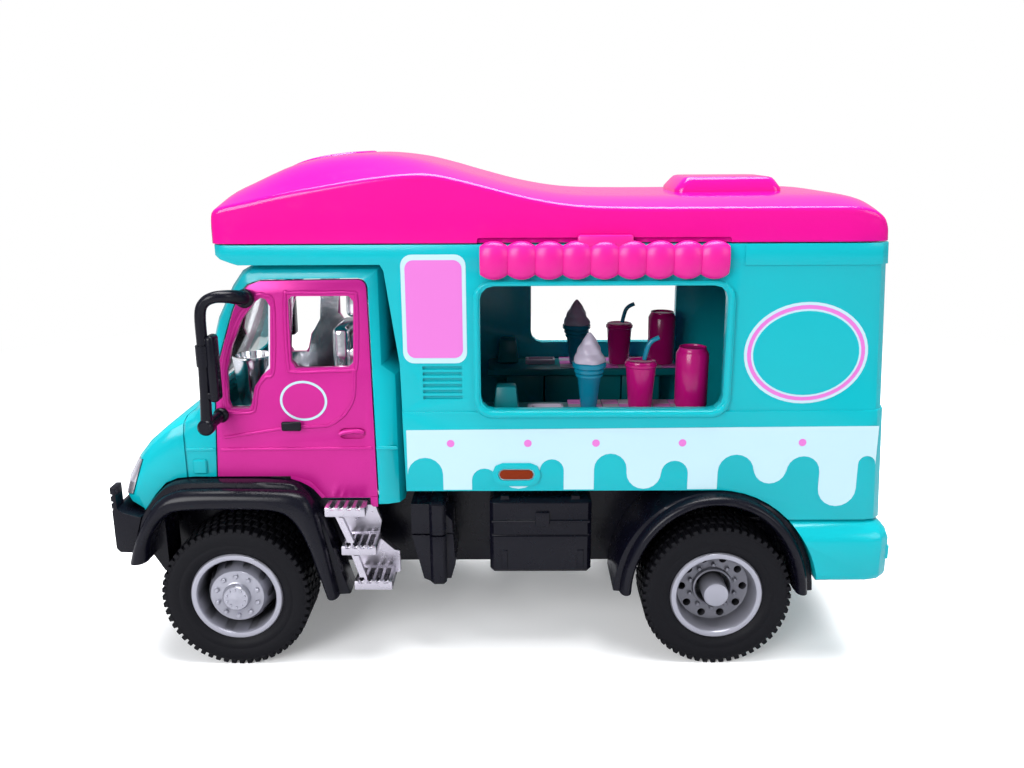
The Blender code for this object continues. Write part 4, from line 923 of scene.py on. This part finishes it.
def window_bead(side, sign, x0, x1, z0, z1):
    """The rounded face of the raised frame, broadest along its foot."""
    corners = panel(x0, x1, z0, z1, WINDOW_CORNER)
    line = []
    for (a, b), (c, d) in zip(corners, corners[1:] + corners[:1]):
        parts = max(1, round(sqrt((c - a) ** 2 + (d - b) ** 2) / BEAD_STEP))
        for k in range(parts):
            x, z = a + (c - a) * k / parts, b + (d - b) * k / parts
            radius = TOP_BEAD if z > z1 - BEAD_EDGE else FOOT_BEAD if z < z0 + BEAD_EDGE else SIDE_BEAD
            line.append((x, sign * BEAD_OUT, z, radius))
    link_piece(f"window_bead_{side}", tube("bead", line, 10, True), teal_plastic)


window_bead("left", -1, -4.6, 46.25, 56.9, 83.85)
window_bead("right", 1, 6.6, 46.25, 58.65, 83.85)


# Roof
# A hot pink shell of one moulding: domed over the cab, flat behind, with a raised hatch and a low relief on the
# dome. It rests on the box and is cut out above each awning.
PINK = (0.64, 0.002, 0.23)
pink_plastic = moulded("pink_plastic", PINK, 0.13, 0.003, 0.03, shine=0.3)
DOME_MIDDLE = (-38.0, 0.0)
RELIEFS = (("outer", (9.5, 11.0), 0.9), ("inner", (5.0, 6.2), 0.8))   # name, half length and width, thickness
HATCH = (   # x from, x to, half width, height
    (37.6, 61.0, 9.5, 99.4), (37.8, 60.8, 9.4, 101.1), (39.3, 59.5, 8.9, 102.8), (39.8, 59.0, 8.6, 103.3),
    (40.4, 58.4, 8.2, 103.5))
ROOF_BASE = 91.8
ROOF_HALF = 29.95
ROOF_LINE = (   # x, height at the side crease, height along the middle, how much narrower than the box
    (-57.0, 96.0, 96.5, 2.2), (-56.4, 98.0, 98.8, 1.0), (-54.6, 98.9, 101.2, 0.3),
    (-50.4, 99.8, 103.4, 0.0), (-42.4, 101.5, 106.9, 0.0), (-34.6, 102.8, 108.6, 0.0),
    (-26.0, 104.2, 109.1, 0.0), (-18.0, 105.1, 108.3, 0.0), (-12.0, 105.0, 106.9, 0.0),
    (-4.0, 103.2, 104.6, 0.0), (5.0, 100.9, 102.3, 0.0), (14.0, 99.3, 100.9, 0.0), (24.0, 98.8, 100.5, 0.0),
    (45.0, 98.7, 100.5, 0.0), (64.0, 98.7, 100.6, 0.0), (70.0, 98.6, 100.4, 0.1), (73.6, 97.9, 99.7, 0.5),
    (75.8, 96.5, 98.1, 1.1), (76.8, 94.9, 96.2, 1.8), (77.2, 93.0, 94.0, 2.4))
CROWN_EDGE = 29.0
CROWN_FOOT = 0.07
CROWN = (   # across, share of the rise
    (0.0, 1.0), (15.0, 0.97), (21.0, 0.82), (26.0, 0.42), (CROWN_EDGE, CROWN_FOOT))
CORNER_RUN = 1.0
ROOF_SINK = 0.12          # keeps the smooth shell inside the coarse one


def eased(table, at, column):
    """A smooth curve through the rows of a table."""
    rows_in = len(table)
    i = max(0, min(rows_in - 2, sum(1 for row in table if row[0] <= at) - 1))

    def slope(k):
        low, high = max(k - 1, 0), min(k + 1, rows_in - 1)
        return (table[high][column] - table[low][column]) / (table[high][0] - table[low][0])

    span = table[i + 1][0] - table[i][0]
    t = (at - table[i][0]) / span
    return ((2 * t ** 3 - 3 * t ** 2 + 1) * table[i][column] + (t ** 3 - 2 * t ** 2 + t) * span * slope(i)
            + (3 * t ** 2 - 2 * t ** 3) * table[i + 1][column] + (t ** 3 - t ** 2) * span * slope(i + 1))


def roof_section(x, inset, base):
    """Points across the roof at one place along it."""
    place = max(ROOF_LINE[0][0], min(ROOF_LINE[-1][0], x))
    side_z, mid_z, tuck = (eased(ROOF_LINE, place, column) for column in (1, 2, 3))
    half = ROOF_HALF - tuck - inset
    side_z -= inset + ROOF_SINK
    rise = mid_z - side_z - inset - ROOF_SINK
    right = [(half, base)]
    first = (half, max(base + 0.3, side_z - 1.1))
    corner = (first, (half, side_z), (half - CORNER_RUN, side_z + CROWN_FOOT * rise))
    for k in range(7):
        t = k / 6
        shares = ((1 - t) ** 2, 2 * t * (1 - t), t * t)
        right.append(tuple(sum(share * spot[n] for share, spot in zip(shares, corner)) for n in (0, 1)))
    for k in range(1, 14):
        across = CROWN_EDGE * (1 - k / 13)
        right.append((across * (half - CORNER_RUN) / CROWN_EDGE, side_z + rise * eased(CROWN, across, 1)))
    return [(-y, z) for y, z in right] + right[-2::-1]


def roof_shell(name, inset, base, steps):
    sections = []
    for near, far in zip(ROOF_LINE, ROOF_LINE[1:]):
        for k in range(steps):
            sections.append(near[0] + (far[0] - near[0]) * k / steps)
    first, last = ROOF_LINE[0][0] + inset, ROOF_LINE[-1][0] - inset
    sections = [first] + [x for x in sections if first + 0.1 < x < last - 0.1] + [last]
    return skin(name, [[(x, y, z) for y, z in roof_section(x, inset, base)] for x in sections], 40)


def roof_height(x, y):
    """Height of the outer skin over a place."""
    section = [point for point in roof_section(x, 0.0, ROOF_BASE) if point[0] >= 0][::-1]
    for (y0, z0), (y1, z1) in zip(section, section[1:]):
        if min(y0, y1) <= abs(y) <= max(y0, y1) and y0 != y1:
            return z0 + (z1 - z0) * (abs(y) - y0) / (y1 - y0)
    return section[0][1]


def relief(size, width):
    """A low rounded ring that follows the dome."""
    sections = []
    for k in range(64):
        angle = 2 * pi * k / 64
        spot = Vector((size[0] * cos(angle), size[1] * sin(angle))) + Vector(DOME_MIDDLE)
        out = Vector((cos(angle) * size[1], sin(angle) * size[0])).normalized()
        section = []
        for n in range(10):
            bend = 2 * pi * n / 10
            x, y = spot + out * (width * cos(bend))
            section.append((x, y, roof_height(x, y) - 0.1 + 0.42 * sin(bend) - (0.3 if sin(bend) < 0 else 0.0)))
        sections.append(section)
    return skin("relief", sections, 60, True)


def roof():
    shell = cut_with(roof_shell("shell", 0.0, ROOF_BASE, 4), roof_shell("hollow", 1.6, ROOF_BASE - 4, 2))
    plan = [[(x, y, top) for x, y in panel(x0, x1, -half, half, 2.0)] for x0, x1, half, top in HATCH]
    shell = cut_with(shell, skin("hatch", plan), "UNION")
    for sign in (-1, 1):
        shell = cut_with(shell, lump("notch", (50.0, 4.0, 2.6), (20.7, sign * 31.2, 91.5), 0.4))
    form("roof", shell, pink_plastic)
    for name, size, width in RELIEFS:
        link_piece(f"dome_relief_{name}", relief(size, width), pink_plastic)


roof()


# Awnings
# Nine puffed lobes in a lighter pink over each window, moulded in one with a back plate and the tab that hooks
# under the roof edge.
AWNING = (0.62, 0.009, 0.235)
awning_plastic = moulded("awning_pink", AWNING, 0.3, 0.004, 0.03)
LOBES = 9
LOBE_PITCH = 48.8 / LOBES
LOBE_ARCH = 4.2
LOBE_Z = 88.5
LOBE_TALL = 3.8
LOBE_FACE = 31.1
LOBE_DEEP = 1.95


def awning(side, sign):
    """Each lobe is a cushion with arched ends above and below; its ends sink a little into its neighbours."""
    half = LOBE_PITCH / 2 + 0.05
    sections = []
    for k in range(21):
        x = -half * cos(pi * k / 20)
        drop = LOBE_ARCH - sqrt(LOBE_ARCH ** 2 - x * x)
        end = 0.82 if k in (0, 20) else 1.0
        section = []
        for n in range(28):
            round_y, round_z = cos(2 * pi * n / 28), sin(2 * pi * n / 28)
            out = (LOBE_DEEP - 0.75 * drop) * abs(round_y) ** 0.8 if round_y > 0 else -0.7 * abs(round_y)
            rise = (LOBE_TALL - drop) * abs(round_z) ** 0.85 * (1 if round_z > 0 else -1)
            section.append((x, sign * (LOBE_FACE + out * end), LOBE_Z + rise * end))
        sections.append(section)
    start = (-3.7 + LOBE_PITCH / 2, 0, 0)
    plate = lump("plate", (48.4, 0.8, 5.0), (20.8, sign * 30.75, 88.4), 0.3)
    base = cut_with(plate, lump("tab", (10.9, 1.5, 3.0), (20.85, sign * 31.0, 91.9), 0.5), "UNION")
    mesh = rows(skin("lobe", sections, 60), awning_plastic, LOBES, start, (LOBE_PITCH, 0, 0), base=base)
    form(f"awning_{side}", mesh, awning_plastic)


for side, sign in SIDES:
    awning(side, sign)


# Counters and treats
# A tiled counter behind each window, with cupboards below and a till at its front end. On it stand a cone with
# its swirl, a cup with a bent straw and a can, all coloured plastic.
cream = moulded("treat_cream", (0.36, 0.32, 0.4), 0.3)
# The teal plastic inside the box is darkened as painted shade, for the shade behind the windows.
inside_teal = moulded("inside_teal", (0.001, 0.13, 0.15), 0.3, slot="teal_plastic")
cyan = moulded("treat_cyan", (0.003, 0.16, 0.25), 0.18)
berry = moulded("treat_magenta", (0.36, 0.004, 0.13), 0.16)
TREAT_ACROSS = 21.0
COUNTER_Z = 55.2
STAND_Z = 55.5
TREATS = (   # kind, x, (height, radius) profile, finish
    ("cone", 18.9, [(STAND_Z, 0), (STAND_Z, 1.6), (55.8, 1.75), (59.0, 2.1), (62.2, 2.5), (62.7, 2.9),
                    (63.1, 2.9), (63.3, 2.7), (63.6, 3.2), (64.1, 3.2), (64.3, 3.05), (64.7, 3.6), (65.5, 3.6),
                    (65.7, 3.4), (65.7, 0)], cyan),
    ("cup", 29.9, [(STAND_Z, 0), (STAND_Z, 2.3), (55.8, 2.5), (64.6, 3.2), (64.9, 3.45), (65.4, 3.45),
                   (65.6, 3.2), (65.9, 3.1), (66.0, 2.6), (65.8, 2.2), (65.8, 0)], berry),
    ("can", 40.8, [(STAND_Z, 0), (STAND_Z, 2.8), (55.7, 3.1), (56.6, 3.5), (67.4, 3.5), (68.1, 3.15),
                   (68.5, 2.9), (68.9, 2.9), (68.9, 2.6), (68.6, 2.5), (68.6, 0)], berry))
STRAW = ((30.6, 66.1), (30.9, 67.5), (31.4, 69.2), (32.2, 70.2), (33.6, 70.9))
STRAW_RADIUS = 0.5
TILE_STEP = 3.7
TILE_ROW = 3.4
TILES_AT = 16.5
TILES_LOW = {"left": -26.2, "right": 18.2}
CUPBOARD_STEP = 9.9
TRAY_ACROSS = 22.4


def swirl(x, y):
    """Soft ice: a tapering twist with five soft folds."""
    sections = []
    for k in range(41):
        t = k / 40
        radius = 3.25 * (1 - t) ** 0.72 + 0.12 + 0.28 * abs(sin(pi * (t * 3.2))) * (1 - t)
        section = []
        for n in range(30):
            angle = 2 * pi * n / 30
            fold = radius * (1 + 0.05 * cos(5 * angle + 9 * t))
            section.append((x + fold * cos(angle), y + fold * sin(angle), 65.75 + 6.3 * t))
        sections.append(section)
    return skin("swirl", sections, 60)


def treats(side, sign):
    y = sign * TREAT_ACROSS
    for kind, x, profile, finish in TREATS:
        form(f"{kind}_{side}", lathe(kind, profile, 40, (x, y, 0), "z", smooth=32), finish)
    form(f"swirl_{side}", swirl(TREATS[0][1], y), cream)
    form(f"straw_{side}", tube("straw", [(x, y, z, STRAW_RADIUS) for x, z in STRAW]), cyan)


def counter(side, sign):
    dressed(f"counter_{side}", inside_teal, edge=0.1, slot="treat_cream")
    tile = lump("tile", (3.6, 3.3, 0.3), (0, 0, 0), 0.06, 1)
    for number, finish in enumerate((cream, pink_print)):
        mesh = None
        for row, shift in enumerate((number, 1 - number)):
            start = (TILES_AT + shift * TILE_STEP, TILES_LOW[side] + row * TILE_ROW, COUNTER_Z + 0.1)
            mesh = rows(tile, finish, 4, start, (2 * TILE_STEP, 0, 0), 2, (0, 2 * TILE_ROW, 0), mesh)
        link_piece(f"counter_tiles_{number}_{side}", mesh, finish)
    cupboard = lump("cupboard", (9.6, 10.6, 11.0), (0, 0, 0), 0.35)
    mesh = rows(cupboard, inside_teal, 4, (5.6, sign * 22.3, 47.7), (CUPBOARD_STEP, 0, 0))
    link_piece(f"counter_cupboards_{side}", mesh, inside_teal)
    till = lump("till", (5.6, 5.0, 6.2), (1.2, sign * 24.0, 58.4), 0.5, 2, 0.75)
    link_piece(f"till_{side}", till, inside_teal)
    tray = cut_with(lump("tray", (7.6, 3.6, 1.4), (9.6, sign * TRAY_ACROSS, COUNTER_Z + 0.5), 0.2),
                    lump("well", (6.2, 2.6, 1.2), (9.8, sign * TRAY_ACROSS, COUNTER_Z + 0.9), 0.1))
    link_piece(f"counter_tray_{side}", tray, cream)


for side, sign in SIDES:
    treats(side, sign)
    counter(side, sign)


# Boarding steps
# Each flight is one plated moulding: three treads with four slots and a toothed edge, between a folded back
# plate and two thin stringers. It sits behind the front wheel, with a black plate under each tread as painted
# shadow, so that the slots show dark.
TREADS = (   # x from, x to, underside, inner side
    (-36.8, -28.3, 35.3, 28.35), (-33.7, -26.3, 26.6, 24.5), (-31.3, -23.2, 18.6, 24.5))
TREAD_THICK = 2.1
TREAD_OUT = 33.0
SLOT_IN = 26.6
SLOT_OUT = 32.4
SLOTS = 4
RISER_Y = (24.5, 25.9)
STRINGER_Y = (31.0, 32.2)
RISERS = ([(-35.4, 35.2), (-27.3, 35.2), (-26.0, 31.5), (-26.8, 27.2), (-33.6, 27.2)],
          [(-32.6, 27.4), (-26.4, 27.4), (-23.4, 24.6), (-22.3, 24.4), (-22.3, 19.4), (-31.0, 19.0)])
STRINGERS = ([(-34.9, 35.6), (-33.5, 35.6), (-30.6, 28.2), (-32.0, 28.2)],
             [(-31.9, 26.9), (-30.5, 26.9), (-28.4, 20.2), (-29.8, 20.2)])


def steps(side, sign):
    mesh, *others = [slab("riser", outline, sign, *RISER_Y) for outline in RISERS]
    for part in others + [slab("stringer", outline, sign, *STRINGER_Y) for outline in STRINGERS]:
        mesh = cut_with(mesh, part, "UNION")
    for number, (x0, x1, low, inner) in enumerate(TREADS, 1):
        length, middle = x1 - x0, (x0 + x1) / 2
        back = max(inner + 0.4, SLOT_IN)
        pitch = (length - 1.2) / SLOTS
        at = (middle, sign * (TREAD_OUT + inner) / 2, low + TREAD_THICK / 2)
        mesh = cut_with(mesh, lump("tread", (length, TREAD_OUT - inner, TREAD_THICK), at, 0.25), "UNION")
        slot = lump("slot", (1.15, SLOT_OUT - back, 3.0), (0, 0, 0), 0.2)
        tooth = lump("tooth", (1.1, 1.6, 1.1), (0, 0, 0), 0.25)
        cuts = ((slot, (SLOT_OUT + back) / 2, low + 1.1), (tooth, TREAD_OUT + 0.2, low + TREAD_THICK))
        for cutter, across, height in cuts:
            start = (x0 + 0.6 + pitch / 2, sign * across, height)
            mesh = cut_with(mesh, rows(cutter, silver, SLOTS, start, (pitch, 0, 0)))
        # A black plate under the tread's slots is painted shadow.
        at = (middle, sign * (SLOT_OUT + 0.1 + back) / 2, low + 0.35)
        shadow_plate = lump("shadow_plate", (length - 1.0, SLOT_OUT + 0.3 - back, 0.6), at, 0.1)
        link_piece(f"step_pad_{side}_{number}", shadow_plate, black_plastic)
    form(f"steps_{side}", mesh, plated)


def bright_plating():
    """Plating that is a little duller than the cab's insert."""
    finish = Finish("bright_plating", "silver_plastic")
    ripple = finish.noise(0.25, 3.0)
    finish.set(Base_Color=finish.mix(ripple, (0.48, 0.46, 0.52, 1), (0.62, 0.59, 0.66, 1)), Metallic=0.95,
               Roughness=0.2 + 0.15 * ripple)
    finish.bump(ripple, 0.004)
    return finish


plated = bright_plating()
for side, sign in SIDES:
    steps(side, sign)


# Side marker lamps
# Each lamp is a dark orange plastic lens, pressed into a boss on the box's side over a black seat that shows as
# a thin line round it.
amber = moulded("marker_amber", (0.17, 0.02, 0.004), 0.3, shine=0.08)
for side, sign in SIDES:
    dressed(f"marker_lamp_{side}", amber, edge=0.1)
    film(f"marker_seat_{side}", panel(-0.4, 7.0, 42.6, 45.0, 1.0), sign, 30.12, 30.3, black_plastic)
